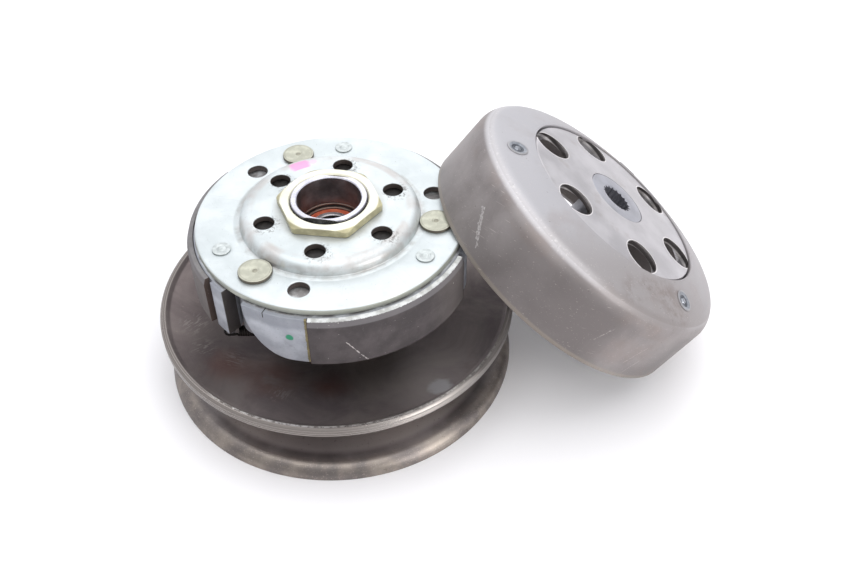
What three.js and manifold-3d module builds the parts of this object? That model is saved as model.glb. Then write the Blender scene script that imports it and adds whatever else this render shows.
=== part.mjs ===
// Driven pulley of a belt drive with its centrifugal clutch, and the clutch bell that leans on it.
// Millimetres, +Z up. The pulley stands on its lower sheave and the bell on the edge of its rim.
import * as THREE from 'three';
import { mergeVertices } from 'three/addons/utils/BufferGeometryUtils.js';
import Module from 'manifold-3d';

const wasm = await Module();
wasm.setup();

const rad = (degrees) => degrees * Math.PI / 180;

// ---------------------------------------------------------------- driving dimensions

const GAP = 0.3; // between pieces that touch
const THIRDS = [0, 120, 240]; // the clutch repeats three times round the axis

// Segments round the large, medium and small turned pieces
const LARGE = 36;
const MEDIUM = 20;
const SMALL = 10;

// Hub, which carries everything and stands on the axis
const HUB_RADIUS = 17;
const HUB_BOTTOM = 0.8;
const HUB_TOP = 91.6;
const HUB_THREAD_RADIUS = 16.8;
const HUB_FLAT = 14.8; // half width across the two flats that drive the plate
const HUB_FLAT_ANGLE = 72;
const HUB_FLANGE = 27;
const BEARING_SEAT_RADIUS = 14;
const NEEDLE_SEAT_RADIUS = 12;

// Bearings in the two ends of the hub
const BEARING_BOTTOM = 68.6;
const BEARING_TOP = 75.6;
const CIRCLIP_TOP = 77.2;
const RACE = { bore: 7.5, inner: 9.6, outer: 12.6, depth: 0.6, half: 1.7 };
const BALL = { radius: 1.9, pitch: 11.1, count: 8 };
const BEARING_SEAL = { inner: 9.9, outer: 12.3, depth: 0.5, thickness: 0.9 };
const CIRCLIP = { inner: 12.9, outer: 14.5, opening: 40, angle: 200 };
const NEEDLE_BOTTOM = 2;
const NEEDLE_TOP = 22;
const NEEDLE = { radius: 1.2, pitch: 9, count: 8 };
const NEEDLE_SHELL = 10.5;

// Sheaves
const SHEAVE_RADIUS = 82.6;
const SHEAVE_SLOPE = Math.tan(rad(14)); // half angle of the belt groove
const SHEAVE_FLAT_RADIUS = 30;
const FIXED_TOP = 17.4;
const FIXED_THICKNESS = 4;
const FIXED_LIP_RADIUS = 8;
const MOVABLE_RADIUS = 82.5;
const MOVABLE_BOTTOM = 17.7;
const MOVABLE_THICKNESS = 3.6;
const MOVABLE_RIM_TOP = 35;
const MOVABLE_RIM_WIDTH = 2.6;

// Sleeve with the three helical slots that the guide pins run in
const SLEEVE_INNER = 17.3;
const SLEEVE_OUTER = 21.2;
const SLEEVE_BOTTOM = 17.9;
const SLEEVE_TOP = 52;
const FACE_TRAVEL = 13;
const FACE_TWIST = 38; // degrees turned over the whole travel
const PIN_HEIGHT = 44;
const PIN_RADIUS = 2.7;
const PIN_ANGLE = 40;
const PIN_INNER_END = 12.4;
const PIN_OUTER_END = 20.8;
const O_RING_HEIGHTS = [23.2, 50];
const OIL_SEAL_POCKET = 3;
const COLLAR_OUTER = 23.2;
const COLLAR_BOTTOM = 21.8;

// Torque spring between the movable sheave and the clutch
const SPRING_RADIUS = 26.6;
const SPRING_WIRE = 2.2;
const SPRING_TURNS = 5.5;
const SPRING_BOTTOM = 23.8;
const SPRING_TOP = 80;
const LOWER_SEAT = { inner: 23.6, outer: 29.6 };
const UPPER_SEAT = { inner: 17.4, sleeve: 22.6, outer: 34.8, drop: 8 };

// Drive plate
const PLATE_RADIUS = 59;
const PLATE_BOTTOM = 78.6;
const PLATE_TOP = 81.6;
const PLATE_SHEET = PLATE_TOP - PLATE_BOTTOM;
const DOME_BASE_RADIUS = 39.5;
const DOME_SHOULDER = 4.8; // radius of the rounded edge of the dome
const DOME_TOP = 86.8;
const DOME_HOLE = { radius: 4.5, pitch: 29.5, angle: 14.7, count: 6 };
const OUTER_HOLE = { radius: 4.6, pitch: 47.9, angle: 10.9, count: 3 };
const PIVOT = { radius: 4, head: 7.2, height: 1.6, pitch: 46.7, angle: 225.1 };
const DAMPER = { radius: 2.5, head: 4, height: 0.4, bottom: 57, pitch: 49.8, angle: 319.2 };

// Clutch nut
const NUT_FLATS = 41;
const NUT_CORNER = 23.3; // radius that the corners are turned down to
const NUT_ANGLE = 45;
const NUT_TOP = 91;

// Shoes
const SHOE_BOTTOM = 53.5;
const SHOE_TOP = 78;
const SHOE_OUTER = 61.3;
const SHOE_INNER = 41;
const SHOE_START = 230; // degrees, end by the pivot
const SHOE_END = 339.6;
const SHOE_TAB = 331.7; // where the bare end of the wall begins, past a groove
const BOSS_RADIUS = 8.3;
const LINING_START = 257.4;
const LINING_END = 329.5;
const LINING_OUTER = 63.1;
const LINING_INNER = 60.2;
const LINING_BOTTOM = 54.2;
const LINING_TOP = 78.5;
const LINING_CHAMFER = { radius: 62.1, bottom: 75.4 };
const SHOE_CORNER = { width: 21.2, height: 23.5, wall: 53.8 };
const SHOE_TIP_RADIUS = 55.6; // inner corner of the free end
const SHOE_NOTCH = 5.4;
const DAMPER_RUBBER = 5;

// Return springs, one from the free end of each shoe to the foot of the next pivot pin
const RETURN_HEIGHT = 47.4;
const RETURN_COIL = 2;
const RETURN_WIRE = 0.5;
const RETURN_TURNS = 4;
const HOOK_POST = { radius: 1.8, pitch: 57, angle: 333 };
const PIVOT_FOOT = { radius: 2.6, bottom: 45.6 };
const PIVOT_NECK = SHOE_BOTTOM - 1.2;
const PIVOT_CLIP = { outer: 6, thickness: 0.9, opening: 70 };

// Bell, in its own frame: z along its axis from the plane of the rim
const BELL_TILT = rad(37.6);
const BELL_X = 103.75; // centre of the rim plane, from the axis of the pulley
const BELL_OUTER = 70;
const BELL_INNER = 67;
const BELL_MOUTH = 2; // chamfer inside the rim
const BELL_CORNER = 10;
const BELL_SKIRT = 27;
const BELL_SHOULDER = rad(17.6); // slope of the shoulder up to the opening
const BELL_SHEET = 3;
const BELL_OPENING = 47.1;
const CENTRE_SPHERE = 500; // radius of the shallow dome of the centre plate
const CENTRE_TOP = 43.05;
const CENTRE_RADIUS = 46.5;
const CENTRE_FLANGE = 60.5;
const CENTRE_SHEET = 2.6;
const VENT = { radius: 8.6, pitch: 37.8, angle: 152.9, count: 6 };
const BELL_RIVET = { radius: 2, head: 4.6, pitch: 56.5, angle: 178 };
const SPLINES = 19;
const SPLINE_ROOT = 7.9;
const SPLINE_TIP = 7;
const BELL_HUB = { top: 42.85, flange: 14.8, collar: 19, sleeve: 12, bottom: 22, collarTop: 39.95 };

// ---------------------------------------------------------------- tools

const colours = {
  sheave: { color: 0x4a4240, roughness: 0.45, metalness: 0.9 },
  steel: { color: 0xb9b6bd, roughness: 0.3, metalness: 0.9 },
  zinc: { color: 0xdfe6ea, roughness: 0.35, metalness: 0.7 },
  yellowZinc: { color: 0xcfcaa2, roughness: 0.4, metalness: 0.7 },
  darkSteel: { color: 0x4d4a49, roughness: 0.5, metalness: 0.8 },
  aluminium: { color: 0xa8a6a3, roughness: 0.5, metalness: 0.8 },
  lining: { color: 0x5a5656, roughness: 0.85, metalness: 0 },
  rubber: { color: 0x1c1b1b, roughness: 0.8, metalness: 0 },
  seal: { color: 0xc9552b, roughness: 0.6, metalness: 0 },
  plastic: { color: 0x1f1d1c, roughness: 0.6, metalness: 0 },
  bell: { color: 0x9a918c, roughness: 0.4, metalness: 0.85 },
};

const group = new THREE.Group();

// Shares vertices and drops the empty triangles that a lathe leaves on its axis.
function weld(geometry) {
  const bare = geometry.clone();
  bare.deleteAttribute('normal');
  bare.deleteAttribute('uv');
  const welded = mergeVertices(bare, 1e-4);
  const corners = welded.index.array;
  const kept = [];
  for (let i = 0; i < corners.length; i += 3) {
    const [a, b, c] = [corners[i], corners[i + 1], corners[i + 2]];
    if (a !== b && b !== c && c !== a) kept.push(a, b, c);
  }
  welded.setIndex(kept);
  return welded;
}

function solid(geometry) {
  const welded = weld(geometry);
  return new wasm.Manifold(new wasm.Mesh({
    numProp: 3,
    vertProperties: new Float32Array(welded.attributes.position.array),
    triVerts: new Uint32Array(welded.index.array),
  }));
}

function geometryOf(body) {
  const mesh = body.getMesh();
  const geometry = new THREE.BufferGeometry();
  geometry.setAttribute('position', new THREE.BufferAttribute(mesh.vertProperties, 3));
  geometry.setIndex(new THREE.BufferAttribute(mesh.triVerts, 1));
  return geometry;
}

// Turns a closed outline of [radius, height] points, listed anticlockwise, round the Z axis.
function turned(outline, segments) {
  const points = [...outline, outline[0]].map(([r, z]) => new THREE.Vector2(r, z));
  return new THREE.LatheGeometry(points, segments).rotateX(Math.PI / 2);
}

const ring = (inner, outer, bottom, top, segments) =>
  turned([[inner, bottom], [outer, bottom], [outer, top], [inner, top]], segments);

const rod = (radius, bottom, top, segments = SMALL) =>
  new THREE.CylinderGeometry(radius, radius, top - bottom, segments)
    .rotateX(Math.PI / 2)
    .translate(0, 0, (top + bottom) / 2);

// Points of an arc about [x, y], from one angle in degrees to another.
function arc(x, y, radius, from, to, steps) {
  const points = [];
  for (let i = 0; i <= steps; i += 1) {
    const a = rad(from + (to - from) * i / steps);
    points.push([x + radius * Math.cos(a), y + radius * Math.sin(a)]);
  }
  return points;
}

const polar = (radius, degrees) => [radius * Math.cos(rad(degrees)), radius * Math.sin(rad(degrees))];

function extruded(outline, bottom, top) {
  const shape = new THREE.Shape(outline.map(([x, y]) => new THREE.Vector2(x, y)));
  const geometry = new THREE.ExtrudeGeometry(shape, { depth: top - bottom, bevelEnabled: false });
  return geometry.translate(0, 0, bottom);
}

const at = (geometry, pitch, degrees) => geometry.translate(...polar(pitch, degrees), 0);

// Cuts a pattern of round holes about the Z axis out of a body.
function drill(body, hole, bottom, top, segments = SMALL) {
  let cut = body;
  for (let i = 0; i < hole.count; i += 1) {
    const angle = hole.angle + i * 360 / hole.count;
    cut = cut.subtract(solid(at(rod(hole.radius, bottom, top, segments), hole.pitch, angle)));
  }
  return cut;
}

// A round wire along a curve.
function wire(curve, radius, steps, sides) {
  const section = new THREE.Shape(
    arc(0, 0, radius, 0, 360, sides).slice(0, sides).map(([x, y]) => new THREE.Vector2(x, y)),
  );
  return new THREE.ExtrudeGeometry(section, { steps, extrudePath: curve, bevelEnabled: false });
}

class Helix extends THREE.Curve {
  constructor(radius, bottom, top, turns) {
    super();
    Object.assign(this, { radius, bottom, top, turns });
  }

  getPoint(t, target = new THREE.Vector3()) {
    const angle = 2 * Math.PI * this.turns * t;
    const z = this.bottom + (this.top - this.bottom) * t;
    return target.set(this.radius * Math.cos(angle), this.radius * Math.sin(angle), z);
  }
}

function add(parent, name, geometry, finish) {
  const mesh = new THREE.Mesh(geometry, new THREE.MeshStandardMaterial(finish));
  mesh.name = name;
  parent.add(mesh);
  return mesh;
}

// ---------------------------------------------------------------- sheaves

function fixedFace() {
  // The lip is an arc that meets the cone of the belt face and ends near the floor.
  const slopeAngle = Math.atan(SHEAVE_SLOPE);
  const lipX = SHEAVE_RADIUS - FIXED_LIP_RADIUS;
  const tangentX = lipX + FIXED_LIP_RADIUS * Math.sin(slopeAngle);
  const tangentZ = FIXED_TOP - (tangentX - SHEAVE_FLAT_RADIUS) * SHEAVE_SLOPE;
  const lipZ = tangentZ - FIXED_LIP_RADIUS * Math.cos(slopeAngle);
  const innerLip = FIXED_LIP_RADIUS - FIXED_THICKNESS;
  const floorAngle = (radius) => Math.asin(-lipZ / radius) / rad(1);
  const start = 90 - slopeAngle / rad(1);
  const under = FIXED_TOP - FIXED_THICKNESS;
  return turned([
    [HUB_RADIUS + GAP, under],
    [SHEAVE_FLAT_RADIUS - 1, under],
    ...arc(lipX, lipZ, innerLip, start, floorAngle(innerLip), 3),
    ...arc(lipX, lipZ, FIXED_LIP_RADIUS, floorAngle(FIXED_LIP_RADIUS), start, 6),
    [SHEAVE_FLAT_RADIUS, FIXED_TOP],
    [HUB_RADIUS + GAP, FIXED_TOP],
  ], LARGE);
}

function movableFace() {
  const rimBottom = MOVABLE_BOTTOM + (MOVABLE_RADIUS - SHEAVE_FLAT_RADIUS) * SHEAVE_SLOPE;
  const topAt = (r) => MOVABLE_BOTTOM + MOVABLE_THICKNESS + (r - SHEAVE_FLAT_RADIUS) * SHEAVE_SLOPE;
  const inner = SLEEVE_OUTER + GAP;
  return turned([
    [inner, MOVABLE_BOTTOM],
    [SHEAVE_FLAT_RADIUS, MOVABLE_BOTTOM],
    [MOVABLE_RADIUS, rimBottom],
    [MOVABLE_RADIUS, MOVABLE_RIM_TOP - 1.2],
    [MOVABLE_RADIUS - 1, MOVABLE_RIM_TOP],
    [MOVABLE_RADIUS - MOVABLE_RIM_WIDTH, MOVABLE_RIM_TOP],
    [MOVABLE_RADIUS - 2 * MOVABLE_RIM_WIDTH, topAt(MOVABLE_RADIUS - 2 * MOVABLE_RIM_WIDTH)],
    [SHEAVE_FLAT_RADIUS, topAt(SHEAVE_FLAT_RADIUS)],
    [inner, topAt(SHEAVE_FLAT_RADIUS)],
  ], LARGE);
}

// ---------------------------------------------------------------- hub, sleeve and pins

// Turns a solid drawn along Z to point away from the axis, with its X along the circle.
function radially(geometry, degrees) {
  const outward = new THREE.Vector3(...polar(1, degrees), 0);
  const along = new THREE.Vector3(...polar(1, degrees + 90), 0);
  return geometry.applyMatrix4(new THREE.Matrix4().makeBasis(along, new THREE.Vector3(0, 0, 1), outward));
}

const radialRod = (radius, from, to, height, degrees) =>
  radially(rod(radius, from, to), degrees).translate(0, 0, height);

function drivenHub() {
  const shoulder = DOME_TOP - PLATE_SHEET - GAP;
  const flangeTop = FIXED_TOP - FIXED_THICKNESS - GAP;
  let body = solid(turned([
    [NEEDLE_SEAT_RADIUS, HUB_BOTTOM],
    [HUB_RADIUS, HUB_BOTTOM],
    [HUB_RADIUS, flangeTop - 4],
    [HUB_FLANGE, flangeTop - 4],
    [HUB_FLANGE, flangeTop],
    [HUB_RADIUS, flangeTop],
    [HUB_RADIUS, shoulder],
    [HUB_THREAD_RADIUS, shoulder],
    [HUB_THREAD_RADIUS, HUB_TOP - 1],
    [HUB_THREAD_RADIUS - 1, HUB_TOP],
    [BEARING_SEAT_RADIUS, HUB_TOP],
    [BEARING_SEAT_RADIUS, CIRCLIP_TOP + GAP],
    [BEARING_SEAT_RADIUS + 0.8, CIRCLIP_TOP + GAP],
    [BEARING_SEAT_RADIUS + 0.8, BEARING_TOP + GAP],
    [BEARING_SEAT_RADIUS, BEARING_TOP + GAP],
    [BEARING_SEAT_RADIUS, BEARING_BOTTOM - GAP],
    [NEEDLE_SEAT_RADIUS, BEARING_BOTTOM - GAP],
  ], MEDIUM));
  // Two flats along the threaded end drive the plate.
  for (const side of [1, -1]) {
    const flat = new THREE.BoxGeometry(4, 40, 20)
      .translate(side * (HUB_FLAT + 2), 0, shoulder + 10)
      .rotateZ(rad(HUB_FLAT_ANGLE));
    body = body.subtract(solid(flat));
  }
  for (const turn of THIRDS) {
    const hole = radialRod(PIN_RADIUS + GAP, NEEDLE_SEAT_RADIUS - 3, HUB_RADIUS + 3, PIN_HEIGHT, PIN_ANGLE);
    body = body.subtract(solid(hole.rotateZ(rad(turn))));
  }
  return geometryOf(body);
}

// A slot that winds round the sleeve: drawn on the unrolled wall, then rolled up.
function slotCutter(degrees) {
  const middle = (SLEEVE_INNER + SLEEVE_OUTER) / 2;
  const run = -middle * rad(FACE_TWIST);
  const slope = Math.atan2(-FACE_TRAVEL, run) / rad(1);
  const width = PIN_RADIUS + 2 * GAP;
  const steps = 4;
  const edge = (side, forward) => {
    const [dx, dz] = polar(width, slope + side * 90);
    const points = [];
    for (let i = 1; i < steps; i += 1) {
      const t = forward ? i / steps : 1 - i / steps;
      points.push([run * t + dx, -FACE_TRAVEL * t + dz]);
    }
    return points;
  };
  const outline = [
    ...arc(0, 0, width, slope + 90, slope + 270, 5),
    ...edge(-1, true),
    ...arc(run, -FACE_TRAVEL, width, slope - 90, slope + 90, 5),
    ...edge(1, false),
  ];
  const slab = extruded(outline, SLEEVE_INNER - 3, SLEEVE_OUTER + 4);
  const position = slab.attributes.position;
  for (let i = 0; i < position.count; i += 1) {
    const angle = position.getX(i) / middle + rad(degrees);
    const height = position.getY(i) + PIN_HEIGHT;
    const r = position.getZ(i);
    position.setXYZ(i, r * Math.cos(angle), r * Math.sin(angle), height);
  }
  return slab;
}

function camSleeve() {
  const pocket = SLEEVE_INNER + 1.8;
  const groove = (z) => [
    [SLEEVE_OUTER, z - 0.8],
    [SLEEVE_OUTER - 1.1, z - 0.8],
    [SLEEVE_OUTER - 1.1, z + 0.8],
    [SLEEVE_OUTER, z + 0.8],
  ];
  let body = solid(turned([
    [pocket, SLEEVE_BOTTOM],
    [SLEEVE_OUTER, SLEEVE_BOTTOM],
    ...O_RING_HEIGHTS.flatMap(groove),
    [SLEEVE_OUTER, SLEEVE_TOP],
    [pocket, SLEEVE_TOP],
    [pocket, SLEEVE_TOP - OIL_SEAL_POCKET],
    [SLEEVE_INNER, SLEEVE_TOP - OIL_SEAL_POCKET],
    [SLEEVE_INNER, SLEEVE_BOTTOM + OIL_SEAL_POCKET],
    [pocket, SLEEVE_BOTTOM + OIL_SEAL_POCKET],
  ], MEDIUM));
  for (const turn of THIRDS) {
    body = body.subtract(solid(slotCutter(PIN_ANGLE + turn)));
  }
  return geometryOf(body);
}

const oRing = (height) => turned(arc(SLEEVE_OUTER - 0.5, height, 0.5, 0, 288, 4), MEDIUM);

const oilSeal = (bottom) =>
  ring(HUB_RADIUS + 0.25, SLEEVE_INNER + 1.5, bottom + GAP, bottom + OIL_SEAL_POCKET - GAP, MEDIUM);

// ---------------------------------------------------------------- bearings

// A bearing ring; the balls run in a groove on its inner or its outer wall.
function race(inner, outer, grooveOn) {
  const middle = (BEARING_BOTTOM + BEARING_TOP) / 2;
  const wall = grooveOn === 'outside' ? outer : inner;
  const floor = grooveOn === 'outside' ? outer - RACE.depth : inner + RACE.depth;
  const groove = [
    [wall, middle - RACE.half],
    [floor, middle - RACE.half],
    [floor, middle + RACE.half],
    [wall, middle + RACE.half],
  ];
  return turned([
    [inner, BEARING_BOTTOM],
    [outer, BEARING_BOTTOM],
    ...(grooveOn === 'outside' ? groove : []),
    [outer, BEARING_TOP],
    [inner, BEARING_TOP],
    ...(grooveOn === 'inside' ? groove.reverse() : []),
  ], MEDIUM);
}

const bearingSeal = (bottom) =>
  ring(BEARING_SEAL.inner, BEARING_SEAL.outer, bottom, bottom + BEARING_SEAL.thickness, MEDIUM);

function ballCage() {
  const middle = (BEARING_BOTTOM + BEARING_TOP) / 2;
  let body = solid(ring(BALL.pitch - 0.5, BALL.pitch + 0.5, middle - 0.6, middle + 0.6, MEDIUM));
  for (let i = 0; i < BALL.count; i += 1) {
    const ball = new THREE.SphereGeometry(BALL.radius, 6, 4).translate(BALL.pitch, 0, middle);
    body = body.add(solid(ball.rotateZ(2 * Math.PI * i / BALL.count)));
  }
  return geometryOf(body);
}

function needleCage() {
  const cage = 0.4; // half the thickness of the cage wall
  let body = solid(ring(NEEDLE.pitch - cage, NEEDLE.pitch + cage, NEEDLE_BOTTOM + 1, NEEDLE_TOP - 1, MEDIUM));
  for (let i = 0; i < NEEDLE.count; i += 1) {
    const needle = rod(NEEDLE.radius, NEEDLE_BOTTOM + 3, NEEDLE_TOP - 3, 6);
    body = body.add(solid(at(needle, NEEDLE.pitch, 360 * i / NEEDLE.count)));
  }
  return geometryOf(body);
}

// A spring clip: a flat ring with a gap.
function clip(inner, outer, bottom, top, opening, degrees) {
  const outline = [
    ...arc(0, 0, outer, opening / 2, 360 - opening / 2, 10),
    ...arc(0, 0, inner, 360 - opening / 2, opening / 2, 10),
  ];
  return extruded(outline, bottom, top).rotateZ(rad(degrees));
}

// ---------------------------------------------------------------- torque spring

function torqueSpring() {
  const bottom = SPRING_BOTTOM + SPRING_WIRE;
  const top = SPRING_TOP - SPRING_WIRE;
  return wire(new Helix(SPRING_RADIUS, bottom, top, SPRING_TURNS), SPRING_WIRE, SPRING_TURNS * 12, 6);
}

function upperSeat() {
  const { inner, sleeve, outer, drop } = UPPER_SEAT;
  const top = DOME_TOP - PLATE_SHEET - GAP;
  return turned([
    [inner, SPRING_TOP - drop],
    [sleeve, SPRING_TOP - drop],
    [sleeve, SPRING_TOP + GAP],
    [outer, SPRING_TOP + GAP],
    [outer, top],
    [inner, top],
  ], MEDIUM);
}

// ---------------------------------------------------------------- clutch

function drivePlate() {
  const domeX = DOME_BASE_RADIUS - DOME_SHOULDER;
  const domeZ = DOME_TOP - DOME_SHOULDER;
  const under = DOME_SHOULDER - PLATE_SHEET;
  let body = solid(turned([
    [HUB_RADIUS - 3, DOME_TOP - PLATE_SHEET],
    ...arc(domeX, domeZ, under, 90, 0, 2),
    [domeX + under, PLATE_BOTTOM],
    [PLATE_RADIUS - 0.4, PLATE_BOTTOM],
    [PLATE_RADIUS, PLATE_BOTTOM + 0.4],
    [PLATE_RADIUS, PLATE_TOP - 0.4],
    [PLATE_RADIUS - 0.4, PLATE_TOP],
    [DOME_BASE_RADIUS, PLATE_TOP],
    ...arc(domeX, domeZ, DOME_SHOULDER, 0, 90, 3).slice(1),
    [HUB_RADIUS - 3, DOME_TOP],
  ], LARGE));
  // The bore has two flats that fit the flats of the hub.
  const bore = solid(rod(HUB_THREAD_RADIUS + GAP, PLATE_BOTTOM, DOME_TOP + 1, MEDIUM))
    .intersect(solid(new THREE.BoxGeometry(2 * (HUB_FLAT + GAP), 40, 20)
      .rotateZ(rad(HUB_FLAT_ANGLE))
      .translate(0, 0, DOME_TOP)));
  body = body.subtract(bore);
  const pins = [PIVOT, DAMPER].map((pin) => ({ ...pin, radius: pin.radius + GAP, count: 3 }));
  for (const hole of [DOME_HOLE, OUTER_HOLE, ...pins]) {
    body = drill(body, hole, PLATE_BOTTOM - 1, DOME_TOP + 1);
  }
  return geometryOf(body);
}

function clutchNut() {
  const corner = NUT_FLATS / Math.sqrt(3);
  const bottom = DOME_TOP + GAP;
  const bore = HUB_THREAD_RADIUS + GAP;
  const hexagon = solid(new THREE.CylinderGeometry(corner, corner, NUT_TOP - bottom, 6)
    .rotateX(Math.PI / 2)
    .rotateZ(rad(NUT_ANGLE))
    .translate(0, 0, (NUT_TOP + bottom) / 2));
  const chamfered = solid(turned([
    [bore, bottom],
    [NUT_CORNER, bottom],
    [NUT_CORNER, NUT_TOP - 1.4],
    [NUT_FLATS / 2, NUT_TOP],
    [bore, NUT_TOP],
  ], MEDIUM));
  return geometryOf(hexagon.intersect(chamfered));
}

function pivotPin() {
  const head = PLATE_TOP + GAP;
  const top = head + PIVOT.height;
  return turned([
    [0, PIVOT_FOOT.bottom],
    [PIVOT_FOOT.radius, PIVOT_FOOT.bottom],
    [PIVOT_FOOT.radius, PIVOT_NECK],
    [PIVOT.radius, PIVOT_NECK],
    [PIVOT.radius, head],
    [PIVOT.head, head],
    [PIVOT.head, top - 0.5],
    [PIVOT.head - 0.6, top],
    [0, top],
  ], 16);
}

function pivotClip() {
  const { outer, thickness, opening } = PIVOT_CLIP;
  const top = PIVOT_NECK - GAP;
  return clip(PIVOT_FOOT.radius + GAP, outer, top - thickness, top, opening, 0);
}

function damperPin() {
  const head = PLATE_TOP + GAP;
  return turned([
    [0, DAMPER.bottom],
    [DAMPER.radius, DAMPER.bottom],
    [DAMPER.radius, head],
    [DAMPER.head, head],
    [DAMPER.head, head + DAMPER.height],
    [0, head + DAMPER.height],
  ], SMALL);
}

const damperRubber = () =>
  ring(DAMPER.radius + GAP, DAMPER_RUBBER, DAMPER.bottom + 1, SHOE_TOP - 1, SMALL);

// The first shoe; the others are the same piece turned by a third of a circle.
function shoe() {
  const pocket = LINING_INNER - GAP;
  let body = solid(extruded([
    ...arc(0, 0, SHOE_OUTER, SHOE_START, LINING_START - 0.4, 4),
    ...arc(0, 0, pocket, LINING_START - 0.4, SHOE_TAB, 10),
    ...arc(0, 0, SHOE_OUTER, SHOE_TAB, SHOE_END, 2),
    polar(SHOE_TIP_RADIUS, SHOE_END),
    polar(SHOE_INNER + 4, SHOE_END - 8),
    ...arc(0, 0, SHOE_INNER, SHOE_END - 13, SHOE_START + 8, 8),
    polar(PIVOT.pitch, PIVOT.angle),
  ], SHOE_BOTTOM, SHOE_TOP));
  body = body.add(solid(at(rod(BOSS_RADIUS, SHOE_BOTTOM, SHOE_TOP, 16), PIVOT.pitch, PIVOT.angle)));

  // The lower corner of the outer wall is rounded away beside the pivot boss.
  const { width, height, wall } = SHOE_CORNER;
  const corner = radially(extruded([
    ...arc(width / 2, SHOE_TOP - 1, 1, 180, 270, 5).map(([x, z]) => [
      width / 2 + (x - width / 2) * width,
      SHOE_TOP - 1 + (z - SHOE_TOP + 1) * height,
    ]),
    [width / 2, SHOE_BOTTOM - 4],
    [-width, SHOE_BOTTOM - 4],
    [-width, SHOE_TOP - 1],
  ].reverse(), wall, SHOE_OUTER + 8), SHOE_START + 10);
  body = body.subtract(solid(corner));

  // The damper stands in a notch that is open towards the axis, where the shoe swings out past it.
  const pin = new THREE.Vector2(...polar(DAMPER.pitch, DAMPER.angle));
  const pivot = new THREE.Vector2(...polar(PIVOT.pitch, PIVOT.angle));
  const lever = pin.clone().sub(pivot).angle() / rad(1);
  const notch = extruded([
    ...arc(0, 0, SHOE_NOTCH, 180, 360, 7),
    [SHOE_NOTCH, 24],
    [-SHOE_NOTCH, 24],
  ], SHOE_BOTTOM - 1, SHOE_TOP + 1).rotateZ(rad(lever)).translate(pin.x, pin.y, 0);
  body = body.subtract(solid(notch));

  const bore = rod(PIVOT.radius + 0.12, SHOE_BOTTOM - 1, SHOE_TOP + 1, 16);
  body = body.subtract(solid(at(bore, PIVOT.pitch, PIVOT.angle)));
  const post = rod(HOOK_POST.radius, PIVOT_FOOT.bottom, SHOE_BOTTOM + 1);
  return geometryOf(body.add(solid(at(post, HOOK_POST.pitch, HOOK_POST.angle))));
}

function lining() {
  const blank = solid(extruded([
    ...arc(0, 0, LINING_OUTER + 1, LINING_START, LINING_END, 10),
    ...arc(0, 0, LINING_INNER, LINING_END, LINING_START, 10),
  ], LINING_BOTTOM, LINING_TOP));
  const profile = solid(turned([
    [LINING_INNER - 4, LINING_BOTTOM],
    [LINING_OUTER, LINING_BOTTOM],
    [LINING_OUTER, LINING_CHAMFER.bottom],
    [LINING_CHAMFER.radius, LINING_TOP],
    [LINING_INNER - 4, LINING_TOP],
  ], LARGE));
  return geometryOf(blank.intersect(profile));
}

// A coil with a hook at each end, from the post on a shoe to the foot of the next pivot pin.
function returnSpring() {
  const post = new THREE.Vector2(...polar(HOOK_POST.pitch, HOOK_POST.angle));
  const foot = new THREE.Vector2(...polar(PIVOT.pitch, PIVOT.angle + 120));
  const run = foot.clone().sub(post);
  const span = run.length();
  const hook = (radius) => radius + GAP + RETURN_WIRE;
  const postHook = hook(HOOK_POST.radius);
  const footHook = hook(PIVOT_FOOT.radius);
  const coilStart = postHook + 0.8;
  const coilEnd = span - footHook - 0.8;
  const points = [];
  for (const [x, y] of arc(0, 0, postHook, 60, 290, 6)) points.push([x, y, 0]);
  const steps = RETURN_TURNS * 6;
  for (let i = 0; i <= steps; i += 1) {
    const angle = 2 * Math.PI * i / 6;
    const x = coilStart + (coilEnd - coilStart) * i / steps;
    points.push([x, -RETURN_COIL * Math.cos(angle), -RETURN_COIL * Math.sin(angle)]);
  }
  for (const [x, y] of arc(span, 0, footHook, 250, 480, 6)) points.push([x, y, 0]);
  const curve = new THREE.CatmullRomCurve3(points.map((p) => new THREE.Vector3(...p)));
  return wire(curve, RETURN_WIRE, 48, 4)
    .rotateZ(run.angle())
    .translate(post.x, post.y, RETURN_HEIGHT);
}

// ---------------------------------------------------------------- bell, in its own frame

const cornerX = BELL_OUTER - BELL_CORNER;
const cornerTop = 90 - BELL_SHOULDER / rad(1);

// Height of the outer face of the shoulder at a radius
function shoulderHeight(radius) {
  const [x, z] = arc(cornerX, BELL_SKIRT, BELL_CORNER, cornerTop, 0, 1)[0];
  return z + (x - radius) * Math.tan(BELL_SHOULDER);
}

const sheetDrop = BELL_SHEET / Math.cos(BELL_SHOULDER);

// Moves a solid from the Z axis to a rivet's place on the shoulder, square to its slope.
const onShoulder = (geometry, degrees) => geometry
  .rotateY(BELL_SHOULDER)
  .translate(BELL_RIVET.pitch, 0, shoulderHeight(BELL_RIVET.pitch))
  .rotateZ(rad(degrees));

function drillRivetHoles(body) {
  let cut = body;
  for (const turn of THIRDS) {
    cut = cut.subtract(solid(onShoulder(rod(BELL_RIVET.radius + GAP, -20, 20), BELL_RIVET.angle + turn)));
  }
  return cut;
}

// The drum is one pressed sheet. Its skirt and its shoulder are two solids that meet half way
// round the corner, so that each stays a simple shape.
function bellSkirt() {
  return turned([
    [BELL_INNER, BELL_MOUTH],
    [BELL_INNER + BELL_MOUTH, 0],
    [BELL_OUTER, 0],
    ...arc(cornerX, BELL_SKIRT, BELL_CORNER, 0, cornerTop / 2, 2),
    ...arc(cornerX, BELL_SKIRT, BELL_CORNER - BELL_SHEET, cornerTop / 2, 0, 2),
  ], LARGE);
}

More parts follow.
